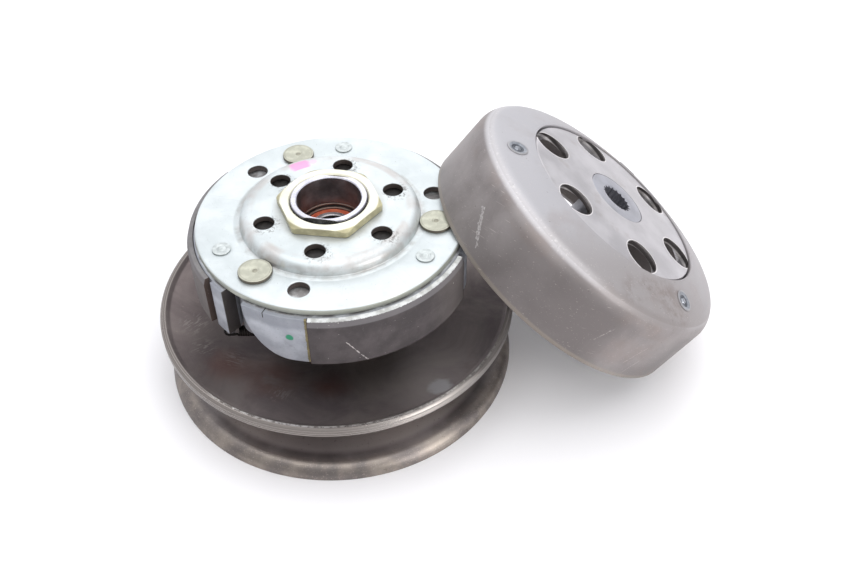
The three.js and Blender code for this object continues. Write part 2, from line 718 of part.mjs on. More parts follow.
function bellShoulder() {
  const shoulder = solid(turned([
    ...arc(cornerX, BELL_SKIRT, BELL_CORNER, cornerTop / 2, cornerTop, 2),
    [BELL_OPENING, shoulderHeight(BELL_OPENING)],
    [BELL_OPENING, shoulderHeight(BELL_OPENING) - sheetDrop],
    ...arc(cornerX, BELL_SKIRT, BELL_CORNER - BELL_SHEET, cornerTop, cornerTop / 2, 2),
  ], LARGE));
  return geometryOf(drillRivetHoles(shoulder));
}

function bellCentre() {
  const dome = (r) => CENTRE_TOP - CENTRE_SPHERE + Math.sqrt(CENTRE_SPHERE ** 2 - r ** 2);
  const flange = (r) => shoulderHeight(r) - sheetDrop - GAP;
  const sheet = CENTRE_SHEET;
  const inner = BELL_HUB.flange + GAP;
  const top = [30, CENTRE_RADIUS - 1].map((r) => [r, dome(r)]);
  let plate = solid(turned([
    [inner, dome(inner)],
    [inner, dome(inner) - sheet],
    [30, dome(30) - sheet],
    [CENTRE_RADIUS - sheet, dome(CENTRE_RADIUS) - sheet - 0.5],
    [CENTRE_RADIUS - sheet, flange(CENTRE_RADIUS) - sheet],
    [CENTRE_FLANGE, flange(CENTRE_FLANGE) - sheet],
    [CENTRE_FLANGE, flange(CENTRE_FLANGE)],
    [CENTRE_RADIUS, flange(CENTRE_RADIUS)],
    [CENTRE_RADIUS, dome(CENTRE_RADIUS) - 0.9],
    ...top.reverse(),
  ], LARGE));
  plate = drill(plate, VENT, 30, 50, 14);
  return geometryOf(drillRivetHoles(plate));
}

function bellHub() {
  const { top, flange, collar, sleeve, bottom, collarTop } = BELL_HUB;
  const bore = SPLINE_TIP - 2;
  const blank = solid(turned([
    [bore, bottom],
    [sleeve, bottom],
    [sleeve, collarTop - 3],
    [collar, collarTop - 3],
    [collar, collarTop],
    [flange, collarTop],
    [flange, top],
    [bore, top],
  ], MEDIUM));
  const outline = [];
  for (let i = 0; i < SPLINES; i += 1) {
    const angle = 360 * i / SPLINES;
    const tooth = 360 / SPLINES;
    outline.push(polar(SPLINE_TIP, angle), polar(SPLINE_TIP, angle + tooth * 0.3));
    outline.push(polar(SPLINE_ROOT, angle + tooth * 0.5), polar(SPLINE_ROOT, angle + tooth * 0.8));
  }
  return geometryOf(blank.subtract(solid(extruded(outline, bottom - 2, top + 5))));
}

function bellRivet(degrees) {
  const stem = -2 * BELL_SHEET - 1;
  const rivet = turned([
    [0, stem],
    [BELL_RIVET.radius, stem],
    [BELL_RIVET.radius, GAP],
    [BELL_RIVET.head, GAP],
    [BELL_RIVET.head, 0.3],
    [3, 0.5],
    [0, 0.7],
  ], SMALL);
  return onShoulder(rivet, degrees);
}

// ---------------------------------------------------------------- assembly

const pulley = new THREE.Group();
const bell = new THREE.Group();
const bellCorner = cornerX * Math.cos(BELL_TILT) + BELL_SKIRT * Math.sin(BELL_TILT);
const bellReach = BELL_X + bellCorner + BELL_CORNER;
const pulleyX = (SHEAVE_RADIUS - bellReach) / 2; // puts the middle of the whole set over the origin

pulley.position.x = pulleyX;
bell.position.set(pulleyX + BELL_X, 0, BELL_OUTER * Math.sin(BELL_TILT));
bell.rotation.y = BELL_TILT;
group.add(pulley, bell);

add(pulley, 'fixed_face', fixedFace(), colours.sheave);
add(pulley, 'driven_hub', drivenHub(), colours.steel);
add(pulley, 'movable_face', movableFace(), colours.sheave);
add(pulley, 'cam_sleeve', camSleeve(), colours.darkSteel);

const collar = ring(SLEEVE_OUTER + GAP, COLLAR_OUTER, COLLAR_BOTTOM, SLEEVE_TOP - 0.4, MEDIUM);
add(pulley, 'seal_collar', collar, colours.darkSteel);
O_RING_HEIGHTS.forEach((height, i) => {
  add(pulley, `o_ring_${i + 1}`, oRing(height), colours.rubber);
});
add(pulley, 'oil_seal_lower', oilSeal(SLEEVE_BOTTOM), colours.rubber);
add(pulley, 'oil_seal_upper', oilSeal(SLEEVE_TOP - OIL_SEAL_POCKET), colours.rubber);

const seatBottom = MOVABLE_BOTTOM + MOVABLE_THICKNESS + GAP;
const lowerSeat = ring(LOWER_SEAT.inner, LOWER_SEAT.outer, seatBottom, SPRING_BOTTOM - GAP, MEDIUM);
add(pulley, 'lower_spring_seat', lowerSeat, colours.plastic);
add(pulley, 'torque_spring', torqueSpring(), colours.darkSteel);
add(pulley, 'upper_spring_seat', upperSeat(), colours.plastic);

const ringOuter = BEARING_SEAT_RADIUS - GAP / 2;
const { depth, thickness } = BEARING_SEAL;
const circlip = clip(CIRCLIP.inner, CIRCLIP.outer, BEARING_TOP + 2 * GAP, CIRCLIP_TOP,
  CIRCLIP.opening, CIRCLIP.angle);
const needleShell = ring(NEEDLE_SHELL, NEEDLE_SEAT_RADIUS - 0.2, NEEDLE_BOTTOM, NEEDLE_TOP, MEDIUM);
add(pulley, 'bearing_outer_ring', race(RACE.outer, ringOuter, 'inside'), colours.steel);
add(pulley, 'bearing_inner_ring', race(RACE.bore, RACE.inner, 'outside'), colours.steel);
add(pulley, 'bearing_ball_cage', ballCage(), colours.steel);
add(pulley, 'bearing_seal_top', bearingSeal(BEARING_TOP - depth - thickness), colours.seal);
add(pulley, 'bearing_seal_bottom', bearingSeal(BEARING_BOTTOM + depth), colours.seal);
add(pulley, 'bearing_circlip', circlip, colours.steel);
add(pulley, 'needle_shell', needleShell, colours.steel);
add(pulley, 'needle_cage', needleCage(), colours.steel);

add(pulley, 'drive_plate', drivePlate(), colours.zinc);
add(pulley, 'clutch_nut', clutchNut(), colours.yellowZinc);

THIRDS.forEach((turn, i) => {
  const number = i + 1;
  const third = new THREE.Group();
  third.rotation.z = rad(turn);
  pulley.add(third);

  const guidePin = radialRod(PIN_RADIUS, PIN_INNER_END, PIN_OUTER_END, PIN_HEIGHT, PIN_ANGLE);
  add(third, `guide_pin_${number}`, guidePin, colours.steel);
  add(third, `pivot_pin_${number}`, at(pivotPin(), PIVOT.pitch, PIVOT.angle), colours.zinc);
  add(third, `pivot_clip_${number}`, at(pivotClip(), PIVOT.pitch, PIVOT.angle), colours.darkSteel);
  add(third, `damper_pin_${number}`, at(damperPin(), DAMPER.pitch, DAMPER.angle), colours.zinc);
  add(third, `damper_rubber_${number}`, at(damperRubber(), DAMPER.pitch, DAMPER.angle), colours.rubber);
  add(third, `shoe_${number}`, shoe(), colours.aluminium);
  add(third, `lining_${number}`, lining(), colours.lining);
  add(third, `return_spring_${number}`, returnSpring(), colours.darkSteel);
});

add(bell, 'bell_skirt', bellSkirt(), colours.bell);
add(bell, 'bell_shoulder', bellShoulder(), colours.bell);
add(bell, 'bell_centre', bellCentre(), colours.bell);
add(bell, 'bell_hub', bellHub(), colours.steel);
for (let i = 0; i < 3; i += 1) {
  add(bell, `bell_rivet_${i + 1}`, bellRivet(BELL_RIVET.angle + i * 120), colours.bell);
}

export default group;
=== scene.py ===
# Looks for the driven pulley with its clutch, and the clutch bell that leans on it.
import math
import bpy
from mathutils import Matrix, Vector


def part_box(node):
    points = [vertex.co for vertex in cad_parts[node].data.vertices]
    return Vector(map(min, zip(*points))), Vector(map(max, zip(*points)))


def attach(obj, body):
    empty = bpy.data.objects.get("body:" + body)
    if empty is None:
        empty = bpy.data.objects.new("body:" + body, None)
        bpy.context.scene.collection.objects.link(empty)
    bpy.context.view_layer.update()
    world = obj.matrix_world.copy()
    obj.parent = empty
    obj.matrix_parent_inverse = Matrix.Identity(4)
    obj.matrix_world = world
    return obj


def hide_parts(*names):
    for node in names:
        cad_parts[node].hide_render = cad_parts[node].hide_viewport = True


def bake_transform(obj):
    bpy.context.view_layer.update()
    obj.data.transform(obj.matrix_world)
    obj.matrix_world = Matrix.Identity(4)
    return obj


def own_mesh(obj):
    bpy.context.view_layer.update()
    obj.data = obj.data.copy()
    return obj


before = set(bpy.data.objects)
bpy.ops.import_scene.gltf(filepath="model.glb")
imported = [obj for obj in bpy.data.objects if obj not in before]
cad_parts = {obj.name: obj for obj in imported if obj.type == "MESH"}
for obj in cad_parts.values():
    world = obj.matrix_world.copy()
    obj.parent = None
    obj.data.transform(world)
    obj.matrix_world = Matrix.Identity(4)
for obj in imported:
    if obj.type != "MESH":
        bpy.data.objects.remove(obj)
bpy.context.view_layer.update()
scene = bpy.context.scene

MM = 0.001
THIRDS = (0, 120, 240)
LARGE, MEDIUM, SMALL = 192, 96, 48  # segments round turned pieces
SMOOTH = 34  # edges sharper than this many degrees stay crisp

# Spots on the pulley and on the bell: the radius, and the angle of the first one
PIVOT = (46.7, 225.1)
NEXT_PIVOT = (PIVOT[0], PIVOT[1] + THIRDS[1])
DAMPER = (49.8, 319.2)
SPRING_POST = (57, 333)
DOME_HOLES = (29.5, 14.7)
PLATE_HOLES = (47.9, 10.9)
VENTS = (37.8, 152.9)
BELL_RIVETS = (56.5, 178)


# -------------- outlines, in millimetres

def polar(radius, degrees):
    a = math.radians(degrees)
    return radius * math.cos(a), radius * math.sin(a)


def point(radius, degrees, z):
    return (*polar(radius, degrees), z)


def arc(x, y, radius, start, end, steps):
    points = []
    for i in range(steps + 1):
        dx, dy = polar(radius, start + (end - start) * i / steps)
        points.append((x + dx, y + dy))
    return points


def rounded(corners, step):
    """A closed outline; each corner is (x, y) or (x, y, radius)."""
    points = []
    count = len(corners)
    for i, corner in enumerate(corners):
        p = Vector(corner[:2])
        if len(corner) == 2:
            points.append(tuple(p))
            continue
        a = (Vector(corners[i - 1][:2]) - p).normalized()
        b = (Vector(corners[(i + 1) % count][:2]) - p).normalized()
        half = a.angle(b) / 2
        centre = p + (a + b).normalized() * corner[2] / math.sin(half)
        start = p + a * corner[2] / math.tan(half) - centre
        end = p + b * corner[2] / math.tan(half) - centre
        first = math.degrees(math.atan2(start.y, start.x))
        turn = (math.degrees(math.atan2(end.y, end.x)) - first + 180) % 360 - 180
        steps = max(2, round(abs(turn) / step))
        points += arc(centre.x, centre.y, corner[2], first, first + turn, steps)
    return points


# -------------- meshes, in millimetres

def mesh_of(verts, faces):
    mesh = bpy.data.meshes.new("solid")
    mesh.from_pydata(verts, [], faces)
    mesh.validate()
    return mesh


def lathe(outline, segments):
    """Turns a closed outline of (radius, height) round the Z axis."""
    verts, rings, faces = [], [], []
    for r, z in outline:
        if r < 1e-6:
            rings.append([len(verts)] * segments)
            verts.append((0, 0, z))
            continue
        rings.append(list(range(len(verts), len(verts) + segments)))
        for i in range(segments):
            verts.append(point(r, 360 * i / segments, z))
    for a, b in zip(rings, rings[1:] + rings[:1]):
        for i in range(segments):
            j = (i + 1) % segments
            face = list(dict.fromkeys((a[i], a[j], b[j], b[i])))
            if len(face) > 2:
                faces.append(face)
    return mesh_of(verts, faces)


def loft(sections):
    """Joins sections that have the same number of points, and closes both ends."""
    count = len(sections[0])
    verts = [p for section in sections for p in section]
    last = len(verts) - count
    faces = [list(range(count))[::-1], list(range(last, last + count))]
    for start in range(0, last, count):
        for i in range(count):
            j = (i + 1) % count
            faces.append([start + i, start + j, start + count + j, start + count + i])
    return mesh_of(verts, faces)


def prism(outline, bottom, top):
    return loft([[(x, y, z) for x, y in outline] for z in (bottom, top)])


def block(x, width, depth, low, high):
    """A box between two heights, with its middle at x."""
    corners = [(x - width / 2, -depth / 2), (x + width / 2, -depth / 2),
               (x + width / 2, depth / 2), (x - width / 2, depth / 2)]
    return prism(corners, low, high)


def cylinder(radius, low, high, segments):
    return lathe([(0, low), (radius, low), (radius, high), (0, high)], segments)


def tube(points, radius, sides):
    """A round wire along a list of points."""
    points = [Vector(p) for p in points]
    sections = []
    normal = None
    last = len(points) - 1
    for i, p in enumerate(points):
        along = (points[min(i + 1, last)] - points[max(i - 1, 0)]).normalized()
        if normal is None:
            normal = along.orthogonal()
        normal = (normal - along * normal.dot(along)).normalized()
        across = along.cross(normal)
        section = [polar(radius, 360 * k / sides) for k in range(sides)]
        sections.append([p + normal * c + across * s for c, s in section])
    return loft(sections)


def moved(mesh, matrix):
    mesh.transform(matrix)
    return mesh


def rotation(degrees, axis="Z"):
    return Matrix.Rotation(math.radians(degrees), 4, axis)


def at(mesh, spot, turn=0):
    """Moves a mesh out to a (radius, angle) spot, turned round the axis."""
    radius, degrees = spot
    return moved(mesh, Matrix.Translation(point(radius, degrees + turn, 0)))


def added(name, data):
    """A new object in the scene."""
    obj = bpy.data.objects.new(name, data)
    scene.collection.objects.link(obj)
    return obj


def merged(*meshes):
    verts, faces = [], []
    for mesh in meshes:
        start = len(verts)
        verts += [v.co.copy() for v in mesh.vertices]
        faces += [[start + i for i in p.vertices] for p in mesh.polygons]
    return mesh_of(verts, faces)


def evaluated(mesh, modify):
    """The mesh after the modifiers that modify(object) adds."""
    obj = added("work", mesh)
    helpers = modify(obj)
    graph = bpy.context.evaluated_depsgraph_get()
    result = bpy.data.meshes.new_from_object(obj.evaluated_get(graph))
    for helper in [obj, *helpers]:
        bpy.data.objects.remove(helper)
    return result


def boolean(mesh, cutter, operation="DIFFERENCE"):
    def modify(obj):
        helper = added("cutter", cutter)
        modifier = obj.modifiers.new("cut", "BOOLEAN")
        modifier.operation = operation
        modifier.solver = "EXACT"
        modifier.object = helper
        return [helper]
    return evaluated(mesh, modify)


def bevelled(mesh, width, segments=3, angle=32):
    def modify(obj):
        modifier = obj.modifiers.new("edges", "BEVEL")
        modifier.width = width
        modifier.segments = segments
        modifier.limit_method = "ANGLE"
        modifier.angle_limit = math.radians(angle)
        return []
    return evaluated(mesh, modify)


def hole(radius, bottom, top, rim, segments=SMALL):
    """A cutter that leaves rounded rims where it leaves a plate between the two heights."""
    return lathe([
        (0, bottom - 3),
        (radius + rim, bottom - 3),
        *arc(radius + rim, bottom + rim, rim, 270, 180, 4),
        *arc(radius + rim, top - rim, rim, 180, 90, 4),
        (radius + rim, top + 3),
        (0, top + 3),
    ], segments)


def turned(corners, step=30, segments=MEDIUM):
    """A turned piece with rounded corners."""
    return lathe(rounded(corners, step), segments)


# -------------- places and pieces

PULLEY_LOW, PULLEY_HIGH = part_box("movable_face")
AXIS_X = (PULLEY_LOW.x + PULLEY_HIGH.x) / 2 / MM
HUB_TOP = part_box("driven_hub")[1].z / MM
DOME_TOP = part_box("drive_plate")[1].z / MM
NUT_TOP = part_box("clutch_nut")[1].z / MM
PLATE_LOW, PLATE_TOP = 78.6, 81.6
SHEAVE_ANGLE = 14  # degrees that the sheave faces slope
SLOPE = math.tan(math.radians(SHEAVE_ANGLE))
PULLEY = Matrix.Translation((AXIS_X * MM, 0, 0))
BELL_TILT = 37.6  # degrees
BELL_OUTER = 70
BELL_EDGE_X = 103.75  # from the pulley's axis to the middle of the bell's mouth
BELL_EDGE_Z = BELL_OUTER * math.sin(math.radians(BELL_TILT))
BELL = Matrix.Translation(((AXIS_X + BELL_EDGE_X) * MM, 0, BELL_EDGE_Z * MM)) @ rotation(BELL_TILT, "Y")


def placed(name, mesh, place, material):
    """Scales a mesh from millimetres and puts it in the frame with its material and shading."""
    mesh.transform(Matrix.Scale(MM, 4))
    mesh.name = name
    mesh.materials.clear()
    mesh.materials.append(material)
    mesh.shade_smooth()
    mesh.set_sharp_from_angle(angle=math.radians(SMOOTH))
    obj = added(name, mesh)
    obj.matrix_world = place
    return obj


def piece(name, mesh, place, body, material, slot, *replaced):
    """A piece that moves with one body and takes the place of the named CAD nodes."""
    obj = placed(name, mesh, place, material)
    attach(obj, body)
    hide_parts(*replaced)
    return obj


# -------------- materials

def colour(text, alpha=1):
    """A colour written as it looks on a screen, turned into the linear values that Blender uses."""
    channels = [int(text[i:i + 2], 16) / 255 for i in (0, 2, 4)]
    linear = [c / 12.92 if c <= 0.04045 else ((c + 0.055) / 1.055) ** 2.4 for c in channels]
    return (*linear, alpha)


class Nodes:
    """Adds nodes to a node tree; an input is a value or another node's output."""

    def __init__(self, tree):
        self.tree = tree

    def feed(self, value, socket):
        if isinstance(value, bpy.types.NodeSocket):
            self.tree.links.new(value, socket)
        else:
            socket.default_value = value

    def node(self, kind, inputs={}, **settings):
        node = self.tree.nodes.new(kind)
        for key, value in settings.items():
            setattr(node, key, value)
        for key, value in inputs.items():
            self.feed(value, node.inputs[key])
        return node

    def math(self, operation, a, b=0, clamp=False):
        return self.node("ShaderNodeMath", {0: a, 1: b}, operation=operation, use_clamp=clamp).outputs[0]

    def times(self, a, b):
        return self.math("MULTIPLY", a, b)

    def plus(self, a, b):
        return self.math("ADD", a, b)

    def either(self, a, b):
        return self.math("MAXIMUM", a, b)

    def vector(self, operation, a, b):
        node = self.node("ShaderNodeVectorMath", {0: a, 1: b}, operation=operation)
        return node.outputs["Value" if operation in ("DISTANCE", "DOT_PRODUCT") else "Vector"]

    def scaled(self, a, scale):
        return self.node("ShaderNodeVectorMath", {0: a, "Scale": scale}, operation="SCALE").outputs[0]

    def combine(self, x, y, z):
        return self.node("ShaderNodeCombineXYZ", {0: x, 1: y, 2: z}).outputs[0]

    def between(self, value, low, high, out_low=0, out_high=1, kind="SMOOTHSTEP"):
        """Goes from out_low to out_high as the value goes from low to high."""
        inputs = {"Value": value, "From Min": low, "From Max": high, "To Min": out_low, "To Max": out_high}
        return self.node("ShaderNodeMapRange", inputs, interpolation_type=kind).outputs[0]

    def band(self, value, low, high, soft):
        """1 between the two limits, falling to 0 over soft outside them."""
        rise = self.between(value, low - soft, low)
        return self.times(rise, self.between(value, high, high + soft, 1, 0))

    def mix(self, factor, a, b):
        inputs = {"Factor": factor, "A": a, "B": b}
        return self.node("ShaderNodeMix", inputs, data_type="RGBA").outputs["Result"]


class Look(Nodes):
    """Builds a node material in the piece's own coordinates, in millimetres, from two mottled tones."""

    def __init__(self, name, metallic, dark, light, scale, detail=4, low=0.35, high=0.7, roughness=0.55,
                 distortion=0, origin=(0, 0, 0)):
        self.material = bpy.data.materials.new(name)
        self.material.use_nodes = True
        super().__init__(self.material.node_tree)
        self.tree.nodes.clear()
        self.shader = self.node("ShaderNodeBsdfPrincipled", {"Metallic": metallic})
        self.node("ShaderNodeOutputMaterial", {"Surface": self.shader.outputs[0]})
        coordinates = self.node("ShaderNodeTexCoord").outputs["Object"]
        self.place = self.vector("SUBTRACT", self.scaled(coordinates, 1 / MM), origin)
        self.x, self.y, self.z = self.node("ShaderNodeSeparateXYZ", {0: self.place}).outputs
        squares = self.plus(self.times(self.x, self.x), self.times(self.y, self.y))
        self.radius = self.math("SQRT", squares)
        self.angle = self.times(self.math("ARCTAN2", self.y, self.x), 180 / math.pi)
        self.patches = self.noise(scale, detail, roughness, distortion=distortion)
        self.base = self.tones(self.between(self.patches, low, high), dark, light)

    def noise(self, scale, detail=4, roughness=0.55, place=None, distortion=0, output=0):
        """Cloudy noise; scale is in cycles per millimetre."""
        inputs = {"Vector": place or self.place, "Scale": scale, "Detail": detail, "Roughness": roughness,
                  "Distortion": distortion}
        return self.node("ShaderNodeTexNoise", inputs).outputs[output]

    def cloud(self, scale, detail=4, low=0.35, high=0.7, roughness=0.55):
        """0 to 1 as new noise goes from low to high."""
        return self.between(self.noise(scale, detail, roughness), low, high)

    def rough(self, low, high):
        """Roughness that follows the patches of the base colour."""
        return self.between(self.patches, 0.3, 0.7, low, high)

    def tones(self, mask, dark, light):
        return self.mix(mask, colour(dark), colour(light))

    def stain(self, tone, amount, *masks):
        """Turns the base colour towards the tone by the amount, where all the masks are 1."""
        factor = amount
        for mask in masks:
            factor = self.times(factor, mask)
        self.base = self.mix(factor, self.base, colour(tone) if isinstance(tone, str) else tone)

    def wander(self, scale, reach):
        """The place, pushed about by coloured noise by up to about half the reach."""
        noise = self.vector("SUBTRACT", self.noise(scale, 3, 0.5, output="Color"), (0.5, 0.5, 0.5))
        return self.vector("ADD", self.place, self.scaled(noise, reach))

    def blob(self, spot, size, edge=0.4, wobble=0.35, grain=0.35):
        """A patch with an uneven edge about a spot, which is a radius, an angle and a height."""
        distance = self.vector("DISTANCE", self.wander(grain, size * wobble), point(*spot))
        return self.between(distance, size * (1 - edge), size * (1 + edge * 0.5), 1, 0)

    def scratches(self, degrees, length, spacing, share, seed=0, axes=(0, 0, 1)):
        """Thin straight marks: noise stretched along one direction, cut off near its top."""
        inputs = {"Vector": self.place, "Axis": axes, "Angle": math.radians(degrees)}
        rotated = self.node("ShaderNodeVectorRotate", inputs, rotation_type="AXIS_ANGLE").outputs[0]
        stretched = self.vector("MULTIPLY", rotated, (1 / length, 1 / spacing, 1 / spacing))
        moved_on = self.vector("ADD", stretched, (seed, seed * 1.7, seed * 2.3))
        return self.between(self.noise(1, 2, 0.5, moved_on), 1 - share, 1 - share + 0.03)

    def stroke(self, start, end, width, ragged=0.5):
        """A thin soft mark from one spot to another, 1 along its middle."""
        start = Vector(point(*start))
        run = Vector(point(*end)) - start
        offset = self.vector("SUBTRACT", self.wander(0.6, width * 3), start)
        along = self.vector("DOT_PRODUCT", offset, run)
        share = self.math("DIVIDE", along, run.length_squared, clamp=True)
        distance = self.vector("DISTANCE", offset, self.scaled(run, share))
        line = self.between(distance, width, width * 0.3)
        return self.times(line, self.cloud(1.3, 3, 0.3, 0.3 + ragged))

    def strokes(self, marks, width, ragged=0.5):
        """Several strokes in one mask; each mark has a start and an end."""
        total = None
        for start, end in marks:
            mark = self.stroke(start, end, width, ragged)
            total = mark if total is None else self.either(total, mark)
        return total

    def rings(self, pitch):
        """Fine turning marks round the axis, -1 to 1."""
        across = self.plus(self.math("DIVIDE", self.radius, pitch), self.noise(0.02, 1))
        lines = self.combine(across, self.math("DIVIDE", self.z, pitch), 0)
        return self.between(self.noise(1, 3, 0.6, lines), 0.2, 0.8, -1, 1, "LINEAR")

    def finish(self, roughness, bump=None, depth=0.02):
        """Joins colour, roughness and height; depth is the bump's height in millimetres."""
        self.feed(self.base, self.shader.inputs["Base Color"])
        self.feed(roughness, self.shader.inputs["Roughness"])
        if bump is not None:
            node = self.node("ShaderNodeBump", {"Height": bump, "Distance": depth * MM, "Strength": 1})
            self.feed(node.outputs[0], self.shader.inputs["Normal"])
        return self.material


def zinc_look():
    """Bluish-white zinc plate, stained round the dome and scuffed, with painted shade on the dome's flank
    and on the hole walls.
    """
    look = Look("zinc_plating", 0.5, "c8cfd0", "d9dfe0", 0.05, 5, high=0.68, roughness=0.6)
    look.stain("9fa29c", 0.22, look.cloud(0.9, 3, 0.62, 0.74, 0.6))  # freckles
    foot = look.band(look.radius, 39, 41.2, 1.6)
    flank = look.band(look.radius, 34.5, 39.5, 2.2)
    # painted shade: patchy darker beige on the dome's flank
    look.stain("b0a199", 0.5, flank, look.cloud(0.07, 4, 0.38, 0.66))
    look.stain("8b857c", 0.4, foot, look.cloud(0.12, 4, 0.4, 0.62))  # grime
    look.stain("9a938a", 0.22, look.band(look.radius, 19, 23, 3))  # nut shadow
    for radius, angle, size in ((48.5, 98, 2.6), (33.5, 222, 2.8), (37.4, 237, 1.9), (43, 96, 1.6)):
        look.stain("b9b184", 0.55, look.blob((radius, angle, 83.5), size, 0.7))  # yellow
    for radius, angle, size in ((34.6, 251, 1.9), (24.5, 12, 1.2), (44.6, 262, 1), (50, 147, 1.1)):
        look.stain("4c403c", 0.75, look.blob((radius, angle, 84), size, 0.8, 0.9, 0.9))  # dirt
    look.stain("544b45", 0.75, look.cloud(1.4, 2, 0.73, 0.78, 0.5))  # specks
    for i in range(6):
        x, y = polar(DOME_HOLES[0], DOME_HOLES[1] + 60 * i)
        distance = look.vector("DISTANCE", look.place, (x + 1.2, y - 1.6, DOME_TOP))
        look.stain("4f4845", 0.75, look.between(distance, 8, 3.6), look.cloud(0.8, 4, 0.5, 0.6, 0.75))
    # painted shade on the walls of the holes in the dome and the plate
    for top, inner, outer in ((DOME_TOP, 24.6, 34.2), (PLATE_TOP, 43, 52.8)):
        walls = look.band(look.radius, inner, outer, 0.4)
        look.stain("5b4f4a", 0.95, look.between(look.z, top - 0.2, top - 0.45), walls)
    side = look.between(look.radius, 58.7, 58.95)
    look.stain("8f8f7c", 0.7, side, look.between(look.z, 81.5, 81.1))
    pink_span = look.band(look.radius, 30.6, 35.6, 0.7)
    look.stain("e79ccb", 0.85, pink_span, look.blob((33.4, 110.5, DOME_TOP), 5, 0.3, 0.4, 0.5))
    look.stain("e6c0dc", 0.6, pink_span, look.blob((33.4, 99.5, DOME_TOP), 1.8, 0.3, 0.4, 0.5))
    marks = look.either(look.scratches(18, 26, 0.55, 0.3), look.scratches(101, 18, 0.6, 0.28, 4))
    marks = look.either(marks, look.scratches(63, 22, 0.45, 0.29, 9))
    look.stain("b4b9b7", 0.3, marks)
    rough = look.plus(look.rough(0.34, 0.46), look.times(marks, 0.1))
    bump = look.math("SUBTRACT", look.noise(0.8, 4), look.times(marks, 0.5))
    return look.finish(rough, bump, depth=0.03)


def nut_look():
    """Yellow-tinted zinc: cream on the faces that see the light, and painted shade that turns the flats
    olive.
    """
    look = Look("yellow_zinc", 0.25, "e8e5cf", "f4f2e3", 0.12)
    side = look.band(look.z, 80, NUT_TOP - 0.7, 0.4)
    outside = look.between(look.radius, 19.6, 20.2)
    olive = look.tones(look.cloud(0.25), "958e6a", "b9b28a")
    # painted shade: the flats below the top turned darker olive
    look.stain(olive, 0.9, side, outside)
    look.stain("6f6242", 0.5, look.cloud(1.1, 3, 0.67, 0.74))  # specks
    look.stain("a59f7c", 0.35, look.scratches(35, 9, 0.35, 0.3, 2))  # marks
    return look.finish(look.rough(0.28, 0.42), look.noise(0.9, 3), depth=0.03)


def rivet_look():
    """Dull beige-grey upset heads, with painted shadow round the rim, and darker in the dimple."""
    look = Look("rivet_heads", 0.55, "b0b0a1", "c4c4b4", 0.35)
    line = look.times(look.band(look.radius, 6.3, 6.5, 0.2), 0.3)
    # painted shadow round the edge of the head, with a thin dark outline
    look.stain("51483f", 0.9, look.either(look.between(look.radius, 6.9, 7.15), line))  # rim
    look.stain("6f6a5c", 0.6, look.between(look.radius, 0.9, 1.5, 1, 0))  # dimple
    look.stain("7b7564", 0.45, look.cloud(1.6, 3, 0.64, 0.72))  # specks
    return look.finish(0.45, look.plus(look.rings(0.35), look.noise(1, 3)), depth=0.02)


def hub_look():
    """Bright ground end, dark oily bore, and painted shade deeper down."""
    look = Look("hub_steel", 0.95, "cfced9", "e6e5ef", 0.2)
    inside = look.between(look.radius, 14.25, 14.05)
    bore = look.times(inside, look.between(look.z, HUB_TOP - 0.2, HUB_TOP - 0.6))
    oil = look.tones(look.cloud(0.1, 5, 0.35, 0.68), "737072", "a19ea0")
    look.stain(oil, 1, bore)
    # painted shade: the hub darker further down
    look.stain("5b5350", 0.6, look.between(look.z, 60, 20))  # deep down
    below_top = look.between(look.z, HUB_TOP - 0.1, HUB_TOP - 0.4)
    look.stain("4c4a4e", 0.85, below_top, look.between(look.radius, 14.6, 14.9))  # flat
    rough = look.plus(look.between(look.noise(0.3, 3), 0.3, 0.7, 0.18, 0.3), look.times(bore, 0.2))
    return look.finish(rough, look.rings(0.5), depth=0.006)


def steel_look(name, dark, light, roughness=0.3, scale=0.15, metallic=0.9, origin=(0, 0, 0)):
    look = Look(name, metallic, dark, light, scale, 5, 0.32, origin=origin)
    look.stain(light, 0.3, look.scratches(25, 12, 0.4, 0.3, 6))  # marks
    rough = look.rough(roughness - 0.06, roughness + 0.1)
    return look.finish(rough, look.noise(1.2, 3), depth=0.015)


def soft_look(name, dark, light, roughness, scale=0.6):
    look = Look(name, 0, dark, light, scale, high=0.68)
    return look.finish(roughness, look.noise(1.5, 4), depth=0.04)


def on_dish(radius, angle):
    """A spot on the upper face of the sliding sheave."""
    return radius, angle, 21.3 + (radius - 30) * SLOPE


